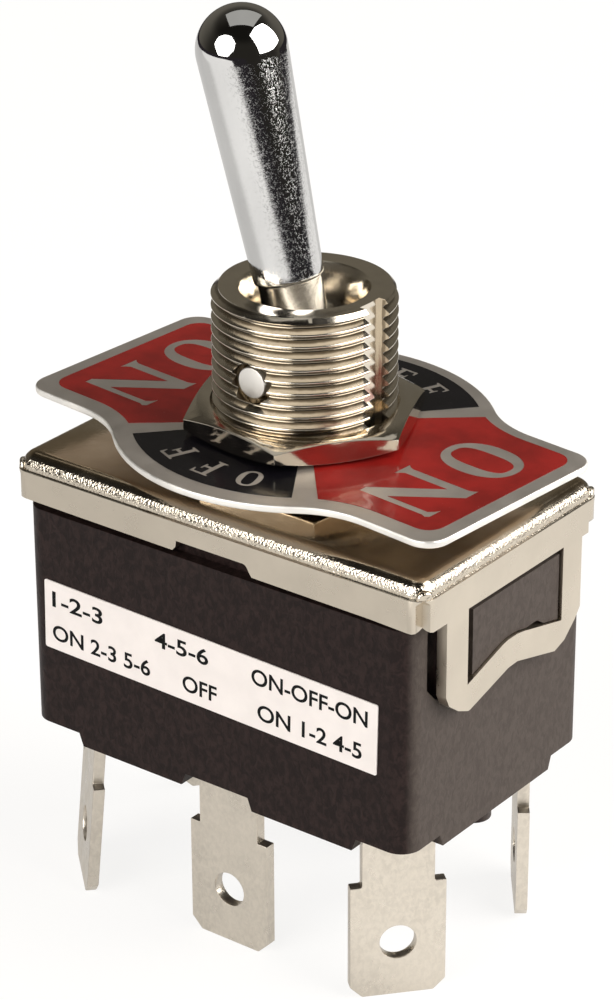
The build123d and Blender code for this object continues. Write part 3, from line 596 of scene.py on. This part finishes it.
class SWITCH_OT_finishes(bpy.types.Operator):
    """Make every finish and put it on the CAD pieces that stay."""

    bl_idname = "switch.finishes"
    bl_label = "Finishes"

    def execute(self, context):
        c = context.scene.switch_colours
        FINISHES.update(
            frame=frame_nickel(tuple(c.nickel)),
            bushing=bushing_nickel(tuple(c.bushing), context.scene.switch_thread),
            nut=metal("nut_nickel", tuple(c.bushing), 0.11, (1500, 1500, 1500), 0.08, 0.008),
            tin=tinned(tuple(c.tin)),
            chrome=lever_chrome(tuple(c.chrome), context.scene.switch_lever.lean),
            pin=metal("pin_steel", (0.80, 0.77, 0.72), 0.34, (2600, 2600, 2600), 0.04, 0.004),
            washer=metal("washer_steel", (0.55, 0.52, 0.47), 0.3),
            silver=metal("contact_silver", (0.85, 0.83, 0.80), 0.3),
            spring=metal("spring_steel", (0.55, 0.54, 0.53), 0.25),
            brass=metal("plunger_brass", (0.72, 0.52, 0.25), 0.25),
            copper=metal("rocker_brass", (0.70, 0.48, 0.26), 0.3),
            plate=plate_aluminium(tuple(c.aluminium)),
            sheared=metal("sheared_edge", (0.90, 0.87, 0.82), 0.5, (5200, 5200, 2600), 0.04, 0.010),
            red=enamel("red_enamel", tuple(c.red), (0.6, 0.25, 0.2), 0.38),
            black=enamel("black_enamel", tuple(c.black), (0.25, 0.22, 0.2), 0.2),
            phenolic=phenolic(tuple(c.phenolic)),
            fibre=plain("fibre_sheet", (0.10, 0.05, 0.03), 0.7),
            nylon=plain("nylon", (0.55, 0.52, 0.45), 0.4),
            paper=plain("label_paper", tuple(c.paper), 0.45, 0.03),
            ink=plain("label_ink", (0.004, 0.004, 0.004), 0.5, Specular_IOR_Level=0.1),
        )
        # a word of a CAD piece's name, and its finish
        kinds = {
            "frame": "frame",
            "housing": "phenolic",
            "bushing": "bushing",
            "nut": "nut",
            "washer": "washer",
            "plate": "plate",
            "lever": "chrome",
            "pin": "pin",
            "sheet": "fibre",
            "label": "paper",
            "actuator": "nylon",
            "terminal": "tin",
            "contact": "silver",
            "plunger": "brass",
            "rocker": "copper",
            "spring": "spring",
        }
        for name, node in NODES.items():
            words = name.split("_")
            paint(node, FINISHES[next(kinds[word] for word in words if word in kinds)])
        return {"FINISHED"}


# ------------------------------------------------------------------ bushing
class SWITCH_OT_bushing(bpy.types.Operator):
    """Threaded bushing with its mouth, keyway and cross hole."""

    bl_idname = "switch.bushing"
    bl_label = "Bushing"

    def execute(self, context):
        t = context.scene.switch_thread
        p = t.pitch
        start = LID_TOP - 2 * p
        # one turn's section: half a root, a flank, a rounded crest, a flank and half a root
        tip, dip = 0.11 * p, 0.13 * p
        rise = (0.5 * p - (tip + dip) * cos(radians(30))) * sqrt(3)
        root = t.radius - rise - (tip + dip) * (1 - sin(radians(30)))
        half = [(root, 0)]
        hollow = [radians(turned) for turned in (20, 40, 60)]
        crest = [radians(turned) for turned in (60, 45, 30, 15, 0)]
        half += [(root + dip * (1 - cos(a)), dip * sin(a)) for a in hollow]
        half += [(t.radius - tip * (1 - cos(a)), p / 2 - tip * sin(a)) for a in crest]
        tooth = [(r, 0, start + z) for r, z in half]
        tooth += [(r, 0, start + p - z) for r, z in reversed(half[:-1])]
        rod = chain("threaded_bushing", tooth)
        turns = int((RIM - start) / t.pitch) + 2
        modify(
            rod,
            "SCREW",
            axis="Z",
            angle=2 * pi,
            screw_offset=t.pitch * MM,
            iterations=turns,
            steps=96,
            render_steps=96,
            use_merge_vertices=True,
            use_smooth_shade=False,
        )
        close_up(rod)
        trim(rod, LID_TOP, False)
        trim(rod, RIM, True)
        close_up(rod, 1e-8)
        # lead-in chamfer at the rim
        lead_in = [
            (t.radius - t.chamfer - 0.1, RIM + 0.1),
            (t.radius + 0.1, RIM - t.chamfer - 0.1),
            (t.radius + 1, RIM - t.chamfer - 0.1),
            (t.radius + 1, RIM + 0.1),
        ]
        cut(rod, ring("rim_cutter", lead_in, 128))
        # mouth, bore and the clearance below
        funnel, throat, skirt = RIM - 2.6, PIN_Z - 1.5, 4.6
        mouth = lathe(
            "mouth_cutter",
            [
                (0, RIM + 1),
                (t.mouth + 0.12, RIM + 1),
                (t.mouth + 0.12, RIM + 0.001),
                (t.mouth, RIM - 0.12),
                (t.bore, funnel),
                (t.bore, throat),
                (skirt, FLANGE_LOW),
                (skirt, FLANGE_LOW - 1),
                (0, FLANGE_LOW - 1),
            ],
            128,
        )
        cut(rod, mouth)
        # keyway, its floor very slightly ridged down the middle
        floor_r = t.radius - t.key_depth
        half = t.key_width / 2
        slot = [(floor_r - 0.05, -half), (t.radius + 1, -half)]
        slot += [(t.radius + 1, half), (floor_r - 0.05, half), (floor_r, 0)]
        cut(rod, prism("key_cutter", slot, LID_TOP - 0.05, RIM + 1))
        # cross hole with its countersinks
        sink, sink_in, sink_out = 1.40, 4.5, 4.7
        hole = lathe(
            "cross_cutter",
            [
                (0, -t.radius - 1),
                (sink, -t.radius - 1),
                (sink, -sink_out),
                (PIN_R, -sink_in),
                (PIN_R, sink_in),
                (sink, sink_out),
                (sink, t.radius + 1),
                (0, t.radius + 1),
            ],
            64,
        )
        move(hole, Matrix.Translation((0, 0, PIN_Z * MM)) @ CROSSWISE)
        cut(rod, hole)
        close_up(rod, 1e-8)
        # flange under the lid
        flare = t.bore + (skirt - t.bore) * (throat - LID_TOP) / (throat - FLANGE_LOW)
        edge, collar = 0.15, 5.5
        foot = ring(
            "bushing_flange",
            [
                (skirt, FLANGE_LOW),
                (FLANGE_R - edge, FLANGE_LOW),
                (FLANGE_R, FLANGE_LOW + edge),
                (FLANGE_R, LID_UNDER - edge),
                (FLANGE_R - edge, LID_UNDER),
                (collar, LID_UNDER),
                (collar, LID_TOP),
                (flare, LID_TOP),
            ],
        )
        for piece in (rod, foot):
            smooth(piece, 40)
            paint(piece, FINISHES["bushing"])
            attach(piece, "switch_body")
        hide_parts("bushing")
        return {"FINISHED"}


# ------------------------------------------------------------------ legend plate
def arc(centre, radius, start, end, steps):
    """Points of an arc, angles in degrees."""
    return [
        (
            centre[0] + radius * cos(radians(start + (end - start) * k / steps)),
            centre[1] + radius * sin(radians(start + (end - start) * k / steps)),
        )
        for k in range(steps + 1)
    ]


def superellipse(width, height, power, steps=48):
    """Closed oval, squarer as power grows above 2."""
    points = []
    for k in range(steps):
        a = 2 * pi * k / steps
        x = abs(cos(a)) ** (2 / power) * (1 if cos(a) >= 0 else -1)
        y = abs(sin(a)) ** (2 / power) * (1 if sin(a) >= 0 else -1)
        points.append((x * width / 2, y * height / 2))
    return points


# glyphs of the legend's roman capitals, one unit high, their middle at the origin
def glyph_o(width=0.76):
    return [superellipse(width, 1.0, 2.2), superellipse(width - 0.38, 0.79, 2.9)]


def glyph_n():
    h, stem, thin, foot, serif = 0.5, 0.135, 0.115, 0.41, 0.06
    left = -foot + 0.055
    right = foot - 0.055
    return [
        [
            (-foot, -h), (left + stem + 0.085, -h),
            (left + stem + 0.04, -h + serif * 0.7), (left + stem, -h + serif * 1.6),
            (left + stem, h - 0.30), (right - thin * 0.2, -h),
            (right + thin * 0.75, -h), (right + thin * 0.75, h - serif * 1.6),
            (right + thin * 0.95, h - serif * 0.7), (foot + 0.02, h),
            (right - thin * 0.25 - 0.10, h), (right - thin * 0.25 - 0.03, h - serif * 0.7),
            (right - thin * 0.05, h - serif * 1.6), (right - thin * 0.05, -h + 0.33),
            (left + stem * 1.25, h), (-foot, h),
            (left - 0.02, h - serif * 0.7), (left, h - serif * 1.6),
            (left, -h + serif * 1.6), (left - 0.02, -h + serif * 0.7),
        ]
    ]


def glyph_f():
    h, left, stem = 0.5, -0.24, 0.17
    return [
        [
            (left - 0.09, -h), (left + stem + 0.10, -h),
            (left + stem + 0.10, -h + 0.06), (left + stem, -h + 0.10),
            (left + stem, -0.06), (left + stem + 0.19, -0.06),
            (left + stem + 0.21, -0.15), (left + stem + 0.27, -0.15),
            (left + stem + 0.27, 0.17), (left + stem + 0.21, 0.17),
            (left + stem + 0.19, 0.06), (left + stem, 0.06),
            (left + stem, h - 0.10), (left + stem + 0.30, h - 0.10),
            (left + stem + 0.35, h - 0.26), (left + stem + 0.41, h - 0.26),
            (left + stem + 0.40, h), (left - 0.09, h),
            (left - 0.09, h - 0.06), (left, h - 0.10),
            (left, -h + 0.10), (left - 0.09, -h + 0.06),
        ]
    ]


def placed(loops, centre, size, turn):
    """Glyph loops scaled to size, turned by degrees and moved to centre."""
    a = radians(turn)
    return [
        [
            (
                centre[0] + size * (x * cos(a) - y * sin(a)),
                centre[1] + size * (x * sin(a) + y * cos(a)),
            )
            for x, y in loop
        ]
        for loop in loops
    ]


def as_mesh(name, curve):
    """A new mesh object made from a curve or from text."""
    obj = bpy.data.objects.new(name, curve)
    bpy.context.scene.collection.objects.link(obj)
    only(obj)
    bpy.ops.object.convert(target="MESH")
    return bpy.context.object


def flat_shape(name, loops, thickness):
    """A flat solid with holes from closed loops of (x, y) in millimetres, its back on z = 0."""
    curve = bpy.data.curves.new(name, "CURVE")
    curve.dimensions = "2D"
    curve.fill_mode = "BOTH"
    curve.extrude = thickness / 2 * MM
    for loop in loops:
        spline = curve.splines.new("POLY")
        spline.points.add(len(loop) - 1)
        for point, (x, y) in zip(spline.points, loop):
            # the fill's thickness is spread about the curve's own plane
            point.co = (x * MM, y * MM, thickness / 2 * MM, 1)
        spline.use_cyclic_u = True
    return close_up(as_mesh(name, curve), 2e-7)


def plate_place(context, lift):
    """Matrix from the plate's own plane, lift millimetres above its underside, to the frame."""
    s = context.scene.switch_legend
    up = Vector((-s.rise_x, -s.rise_y, 1)).normalized()
    x = Vector((cos(radians(s.turn)), sin(radians(s.turn)), 0))
    x = (x - up * x.dot(up)).normalized()
    y = up.cross(x)
    middle = (low("legend_plate").z + high("legend_plate").z) / 2
    origin = Vector((0, 0, middle)) * MM + up * (lift - s.thick / 2) * MM
    turn = Matrix((x, y, up)).transposed().to_4x4()
    return Matrix.Translation(origin) @ turn


class SWITCH_OT_legend(bpy.types.Operator):
    """Aluminium legend plate with its enamelled ON wings and OFF sectors."""

    bl_idname = "switch.legend"
    bl_label = "Legend plate"

    def execute(self, context):
        s = context.scene.switch_legend
        plate = bevelled_copy("legend_plate", "aluminium_plate", 0.05)
        paint(plate, FINISHES["plate"])
        plate.data.materials.append(FINISHES["sheared"].material)
        for face in plate.data.polygons:
            # the bare edge is every face that stands steeper than the plate's rolled rim
            face.material_index = 1 if abs(face.normal.z) < 0.86 else 0
        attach(plate, "switch_body")
        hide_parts("legend_plate")
        # the print's outline: the plate's disc, wings and hollow waists, drawn in by the border
        disc, reach, half, waist = 12.4 - s.border, 17.42 - s.border, 8.1 - s.border, 6.5 + s.border
        waist_y = half + waist
        waist_x = sqrt((disc + waist) ** 2 - waist_y**2)
        inner = 6.7
        # red wings, each between two radial stripes and the border
        stripe = 44.6
        a = radians(stripe)
        along = waist_x * cos(a) + waist_y * sin(a)
        corner = along - sqrt(along**2 - (waist_x**2 + waist_y**2 - waist**2))
        meet = (corner * cos(a), corner * sin(a))
        begin = degrees(atan2(meet[1] - waist_y, meet[0] - waist_x))
        round_r = 1.2
        upper = [(inner * cos(a), inner * sin(a)), meet]
        upper += arc((waist_x, waist_y), waist, begin, -90, 8)[1:]
        upper += arc((reach - round_r, half - round_r), round_r, 90, 0, 6)
        wing = upper + [(x, -y) for x, y in reversed(upper)]
        wing += arc((0, 0), inner, -stripe, stripe, 12)[1:-1]
        capital, round_capital, tall, lift_o, drop_n = 12.0, 12.1, 5.6, 3.15, -2.72
        for side, name in ((-1, "left"), (1, "right")):
            loops = [[(side * x, y + s.offset) for x, y in wing]]
            loops += placed(glyph_o(), (side * round_capital, lift_o), tall, -90)
            loops += placed(glyph_n(), (side * capital, drop_n), tall, -90)
            self.lay(context, f"on_field_{name}", loops, "red")
        # black sectors with OFF along the rim, its feet to the middle
        spread, letter_step, letter_turn, letter_r, letter_h = 37.3, 18.6, 1.0, 9.3, 2.15
        for side, name in ((-1, "front"), (1, "rear")):
            middle = side * 90
            loop = arc((0, 0), disc, middle - spread, middle + spread, 24)
            loop += arc((0, 0), inner, middle + spread, middle - spread, 12)
            loops = [[(x, y + s.offset) for x, y in loop]]
            for count, glyph in enumerate((glyph_o(0.74), glyph_f(), glyph_f())):
                # read from the side of the plate's middle outwards, left to right
                angle = middle + letter_turn - (count - 1) * letter_step
                a = radians(angle)
                centre = (letter_r * cos(a), letter_r * sin(a) + s.offset)
                loops += placed(glyph, centre, letter_h, angle - 90)
            self.lay(context, f"off_field_{name}", loops, "black")
        return {"FINISHED"}

    def lay(self, context, name, loops, finish):
        """Lay a field of enamel on the plate."""
        s = context.scene.switch_legend
        field = flat_shape(name, loops, s.coat)
        move(field, plate_place(context, s.thick))
        paint(field, FINISHES[finish])
        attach(field, "switch_body")


# ------------------------------------------------------------------ lever and its pin
class SWITCH_OT_lever(bpy.types.Operator):
    """Bat lever with its domed tip, rounded foot and ball, and the pin it turns on."""

    bl_idname = "switch.lever"
    bl_label = "Lever"

    def execute(self, context):
        s = context.scene.switch_lever
        low_cut = degrees(atan2(sqrt(s.ball**2 - s.shank**2), s.shank))
        high_cut = degrees(atan2(sqrt(s.ball**2 - s.neck**2), s.neck))
        profile = [(0, -s.shank_end), (s.shank - 0.3, -s.shank_end), (s.shank, -s.shank_end + 0.3)]
        profile += arc((0, 0), s.ball, -low_cut, high_cut, 20)
        profile += [(s.neck, s.foot - 0.12), (s.neck + 0.04, s.foot - 0.03)]
        profile += arc((s.foot_radius - 0.16, s.foot + 0.16), 0.16, -90, -3, 6)
        # the bat's sides run straight into the dome
        flare = 2.65
        end = (s.dome * cos(radians(flare)), s.reach - s.dome * sin(radians(flare)))
        start = (s.foot_radius, s.foot + 0.24)
        for k in (0, 0.02, 0.25, 0.5, 0.75, 0.97):
            profile.append((start[0] + (end[0] - start[0]) * k, start[1] + (end[1] - start[1]) * k))
        profile += arc((0, s.reach), s.dome, -flare, 90, 30)
        profile[-1] = (0, s.reach + s.dome)
        bat = lathe("chromed_lever", profile, 160)
        loose, past = PIN_R + 0.05, s.ball + 1
        hole = lathe("pin_hole", [(0, -past), (loose, -past), (loose, past), (0, past)], 64)
        cut(bat, move(hole, CROSSWISE))
        at_pin = Matrix.Translation((0, 0, PIN_Z * MM))
        move(bat, at_pin @ Matrix.Rotation(radians(-s.lean), 4, "Y"))
        smooth(bat, 24)
        paint(bat, FINISHES["chrome"])
        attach(bat, "lever_body")
        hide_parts("lever")
        side = [(0, PIN_HALF), (0.93, PIN_HALF), (1.0, PIN_HALF - 0.02), (1.04, PIN_HALF - 0.08)]
        side += [(1.04, 4.55), (PIN_R, 4.4)]
        pin = lathe("cross_pin", [(r, -h) for r, h in side] + list(reversed(side)), 64)
        move(pin, at_pin @ CROSSWISE)
        smooth(pin, 40)
        paint(pin, FINISHES["pin"])
        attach(pin, "switch_body")
        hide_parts("pivot_pin")
        return {"FINISHED"}


# ------------------------------------------------------------------ label
def print_text(name, words, left, right, foot, height, thick):
    """A line of print fitted between left and right, standing on foot, its back on z = 0."""
    curve = bpy.data.curves.new(name, "FONT")
    curve.body = words
    curve.extrude = thick / 2 * MM
    # a little bolder than the face is drawn
    curve.offset = 0.017
    obj = as_mesh(name, curve)
    corners = [v.co for v in obj.data.vertices]
    start, end = min(c.x for c in corners), max(c.x for c in corners)
    base, top = min(c.y for c in corners), max(c.y for c in corners)
    fit = Matrix.Diagonal(((right - left) * MM / (end - start), height * MM / (top - base), 1, 1))
    stand = Matrix.Translation((left * MM, foot * MM, thick / 2 * MM))
    move(obj, stand @ fit @ Matrix.Translation((-start, -base, 0)))
    return close_up(obj, 1e-8)


class SWITCH_OT_label(bpy.types.Operator):
    """Print on the side label: switch positions and terminal numbers."""

    bl_idname = "switch.label"
    bl_label = "Label print"

    def execute(self, context):
        s = context.scene.switch_label
        a = radians(s.turn)
        face = Matrix(((cos(a), -sin(a), 0), (0, 0, -1), (sin(a), cos(a), 0))).to_4x4()
        middle = Vector((s.across, low("rating_label").y, LID_TOP - s.drop)) * MM
        place = Matrix.Translation(middle) @ face
        # words, left end, right end and foot, from the label's middle
        upper, lower = 0.64, -1.8
        rows = [
            ("1-2-3", -12.9, -8.6, upper),
            ("4-5-6", -4.2, 0.2, upper),
            ("ON-OFF-ON", 3.7, 12.8, upper),
            ("ON 2-3 5-6", -12.9, -4.6, lower),
            ("OFF", -1.9, 0.9, lower),
            ("ON 1-2 4-5", 4.2, 12.4, lower),
        ]
        lines = [
            print_text(f"print_{count}", words, left, right, foot, s.capital, s.ink)
            for count, (words, left, right, foot) in enumerate(rows)
        ]
        only(lines[0])
        for line in lines:
            line.select_set(True)
        bpy.ops.object.join()
        ink = new_piece("label_print")
        move(ink, place)
        paint(ink, FINISHES["ink"])
        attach(ink, "switch_body")
        return {"FINISHED"}


# ------------------------------------------------------------------ stamped and turned pieces
class SWITCH_OT_edges(bpy.types.Operator):
    """Broken edges on the blades, nuts, frame and base."""

    bl_idname = "switch.edges"
    bl_label = "Edges"

    def execute(self, context):
        # node, new piece, width of its edges, finish, slot
        pieces = [
            ("top_frame", "folded_frame", 0.05, "frame", "nickel_steel"),
            ("base_housing", "moulded_base", 0.12, "phenolic", "phenolic"),
            ("face_nut", "upper_nut", 0.045, "nut", "nickel_nut"),
            ("back_nut", "lower_nut", 0.045, "nut", "nickel_nut"),
            ("lock_washer", "star_washer", 0.06, "washer", "washer_steel"),
        ]
        for name in NODES:
            if "terminal" in name:
                pieces.append((name, name.replace("terminal", "blade"), 0.11, "tin", "tinned_brass"))
        for node, name, width, finish, slot in pieces:
            piece = bevelled_copy(node, name, width)
            if node == "face_nut":
                # countersunk bore
                top = high(node).z
                inside, deep, wide = NUT_BORE - 0.3, top - 0.4, NUT_BORE + 0.42
                bore = [(inside, top + 0.1), (inside, deep), (NUT_BORE - 0.02, deep)]
                cut(piece, ring("bore_cutter", bore + [(wide, top + 0.02), (wide, top + 0.1)]))
                smooth(piece, 30)
            paint(piece, FINISHES[finish])
            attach(piece, "switch_body")
            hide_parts(node)
        return {"FINISHED"}


# ------------------------------------------------------------------ studio
# metres: radii of the floor and the room, and how far off the lamps and the ceiling stand
FLOOR_R, ROOM_R, LAMP_OFF, CEILING_OFF = 0.9, 1.0, 0.8, 0.85


def direction(azimuth, elevation):
    a, e = radians(azimuth), radians(elevation)
    return Vector((cos(e) * cos(a), cos(e) * sin(a), sin(e)))


def glow(name, tone, strength):
    """A plain glowing surface for a lamp or a studio wall."""
    material = bpy.data.materials.new(name)
    material.use_nodes = True
    tree = material.node_tree
    tree.nodes.clear()
    lamp = tree.nodes.new("ShaderNodeEmission")
    lamp.inputs["Color"].default_value = (*tone, 1)
    lamp.inputs["Strength"].default_value = strength
    out = tree.nodes.new("ShaderNodeOutputMaterial")
    tree.links.new(lamp.outputs[0], out.inputs["Surface"])
    return material


def panel(name, aim, corners, distance, tone, strength):
    """A glowing panel with its corners at the given azimuths and elevations from aim."""
    bpy.ops.object.select_all(action="DESELECT")
    bpy.ops.mesh.primitive_circle_add(vertices=len(corners), radius=distance, fill_type="NGON")
    obj = new_piece(name)
    for v, (azimuth, elevation) in zip(obj.data.vertices, corners):
        v.co = aim + direction(azimuth, elevation) * distance
    obj.data.materials.append(glow(name, tone, strength))
    obj.visible_camera = False


class SWITCH_OT_stage(bpy.types.Operator):
    """Pale floor, dark studio, softboxes and camera."""

    bl_idname = "switch.stage"
    bl_label = "Studio"

    def execute(self, context):
        s = context.scene.switch_studio
        aim = Vector((0, 0.0031, 0.0288))
        # camera
        camera = bpy.data.cameras.new("camera")
        camera.sensor_width = 36
        camera.lens = s.lens
        camera.shift_x = -0.0272
        camera.shift_y = -0.0129
        camera.clip_start = 0.01
        holder = bpy.data.objects.new("camera", camera)
        context.scene.collection.objects.link(holder)
        towards = direction(s.azimuth, s.elevation)
        holder.location = aim + towards * s.distance
        holder.rotation_euler = towards.to_track_quat("Z", "Y").to_euler()
        context.scene.camera = holder
        # floor
        bpy.ops.object.select_all(action="DESELECT")
        bpy.ops.mesh.primitive_circle_add(
            vertices=96, radius=FLOOR_R, fill_type="NGON", location=(0, 0, -0.00002)
        )
        floor = new_piece("floor")
        move(floor, Matrix.Identity(4))
        floor.data.materials.append(self.floor_material())
        # dark studio round the set, seen only in reflections
        bpy.ops.object.select_all(action="DESELECT")
        bpy.ops.mesh.primitive_uv_sphere_add(segments=48, ring_count=24, radius=ROOM_R)
        room = new_piece("studio_room")
        edit(room)
        bpy.ops.mesh.bisect(plane_co=(0, 0, 0.001), plane_no=(0, 0, -1), clear_outer=True)
        done(room)
        room.data.materials.append(self.walls())
        room.visible_camera = False
        # black cloth on the floor beyond the edge of a white table, seen only mirrored
        table = [(150, -305), (-60, -380), (-260, -310), (-390, -170), (-400, 110)]
        table += [(-50, 280), (180, 400), (385, 330), (244, -224)]
        bpy.ops.object.select_all(action="DESELECT")
        bpy.ops.mesh.primitive_circle_add(vertices=len(table), radius=1)
        cloth = new_piece("black_cloth")
        for v, (x, y) in zip(cloth.data.vertices, table):
            v.co = (x * MM, y * MM, 0.01 * MM)
        edit(cloth)
        bpy.ops.mesh.extrude_region_move()
        bpy.ops.transform.resize(value=(4, 4, 1), center_override=(0, 0, 0))
        done(cloth)
        cloth.data.materials.append(glow("black_cloth", (0.026, 0.023, 0.026), 1.0))
        cloth.visible_camera = False
        cloth.visible_diffuse = False
        cloth.visible_shadow = False
        # lamps, placed as they show in the lever's dome
        top = Vector((-4, -2, 59)) * MM
        white = (1.0, 0.985, 0.96)
        left = [(-127, 17), (-125, 33), (-110, 44), (-87, 46)]
        left += [(-70, 32), (-72, 14), (-86, -2), (-110, -3)]
        right = [(57, 48), (16, 60), (-22, 49), (-7, 3), (32, 2.5), (58, 7), (58, 25)]
        over = [(165, 48), (90, 39), (16, 63), (-121, 64)]
        panel("left_softbox", top, left, LAMP_OFF, white, s.left_lamp)
        panel("right_softbox", top, right, LAMP_OFF, white, s.right_lamp)
        panel("ceiling_panel", top, over, CEILING_OFF, (1.0, 0.99, 0.94), s.ceiling)
        # world
        world = bpy.data.worlds.new("studio")
        context.scene.world = world
        world.use_nodes = True
        backdrop = world.node_tree.nodes["Background"].inputs
        backdrop["Color"].default_value = (1.0, 1.0, 0.99, 1)
        backdrop["Strength"].default_value = 1.0
        context.scene.view_settings.view_transform = "Standard"
        return {"FINISHED"}

    def walls(self):
        """Dark walls, paler low down at the back."""
        f = Finish("studio_walls")
        parts = f.split(f.place)
        back = f.math("SUBTRACT", f.times(parts["Y"], 0.8), f.times(parts["X"], 0.6))
        towards_back = f.ramp(back, -0.2, 0.9, 0.025, 0.14)
        low_down = f.ramp(parts["Z"], 0.45, 0.75, 1.0, 0.4)
        f.give(
            Base_Color=(0, 0, 0),
            Specular_IOR_Level=0.0,
            Emission_Color=(1.0, 0.92, 0.76),
            Emission_Strength=f.times(towards_back, low_down),
        )
        return f.material

    def floor_material(self):
        """White paper: bright wherever it is seen, straight or mirrored, with a soft shadow, and a
        painted shadow close to the front of the part that only reflections see.
        """
        f = Finish("floor", Roughness=0.9, Specular_IOR_Level=0.1)
        fine = f.noise(f.scaled(60, 60, 60), detail=3)
        rays = f.add("LightPath").outputs
        straight = f.larger(rays["Is Camera Ray"], rays["Is Transmission Ray"])
        seen = f.larger(straight, rays["Is Glossy Ray"])
        paper = f.mix(fine, (0.80, 0.79, 0.77), (0.84, 0.83, 0.81))
        # painted shadow: mirrored, the table is greyer close to the front of the part
        parts = f.split(f.place)
        beside = f.ramp(parts["X"], 0.010, 0.018, 0.66, 1.0)
        beyond = f.ramp(parts["Y"], -0.11, -0.07, 1.0, 0.66)
        bright = f.larger(straight, f.larger(beside, beyond))
        f.give(
            Base_Color=f.mix(seen, paper, (0.16, 0.155, 0.15)),
            Emission_Color=(1, 0.995, 0.985),
            Emission_Strength=f.times(f.times(seen, bright), 0.86),
        )
        return f.material


class SWITCH_PT_panel(bpy.types.Panel):
    bl_label = "Toggle switch"
    bl_idname = "SWITCH_PT_panel"
    bl_space_type = "VIEW_3D"
    bl_region_type = "UI"
    bl_category = "Switch"

    def draw(self, context):
        for step in STEPS:
            self.layout.operator(step.bl_idname)


STEPS = (
    SWITCH_OT_finishes,
    SWITCH_OT_bushing,
    SWITCH_OT_lever,
    SWITCH_OT_legend,
    SWITCH_OT_label,
    SWITCH_OT_edges,
    SWITCH_OT_stage,
)
GROUPS = {
    "switch_thread": ThreadSizes,
    "switch_legend": LegendSizes,
    "switch_lever": LeverSizes,
    "switch_label": LabelSizes,
    "switch_colours": FinishColours,
    "switch_studio": StudioSettings,
}


def register():
    for kind in (*GROUPS.values(), *STEPS, SWITCH_PT_panel):
        bpy.utils.register_class(kind)
    for name, kind in GROUPS.items():
        setattr(bpy.types.Scene, name, bpy.props.PointerProperty(type=kind))


def unregister():
    for name in GROUPS:
        delattr(bpy.types.Scene, name)
    for kind in (SWITCH_PT_panel, *reversed(STEPS), *reversed(tuple(GROUPS.values()))):
        bpy.utils.unregister_class(kind)


def main():
    register()
    bpy.ops.object.select_all(action="DESELECT")
    for step in STEPS:
        group, name = step.bl_idname.split(".")
        getattr(getattr(bpy.ops, group), name)()


if __name__ == "__main__":
    main()
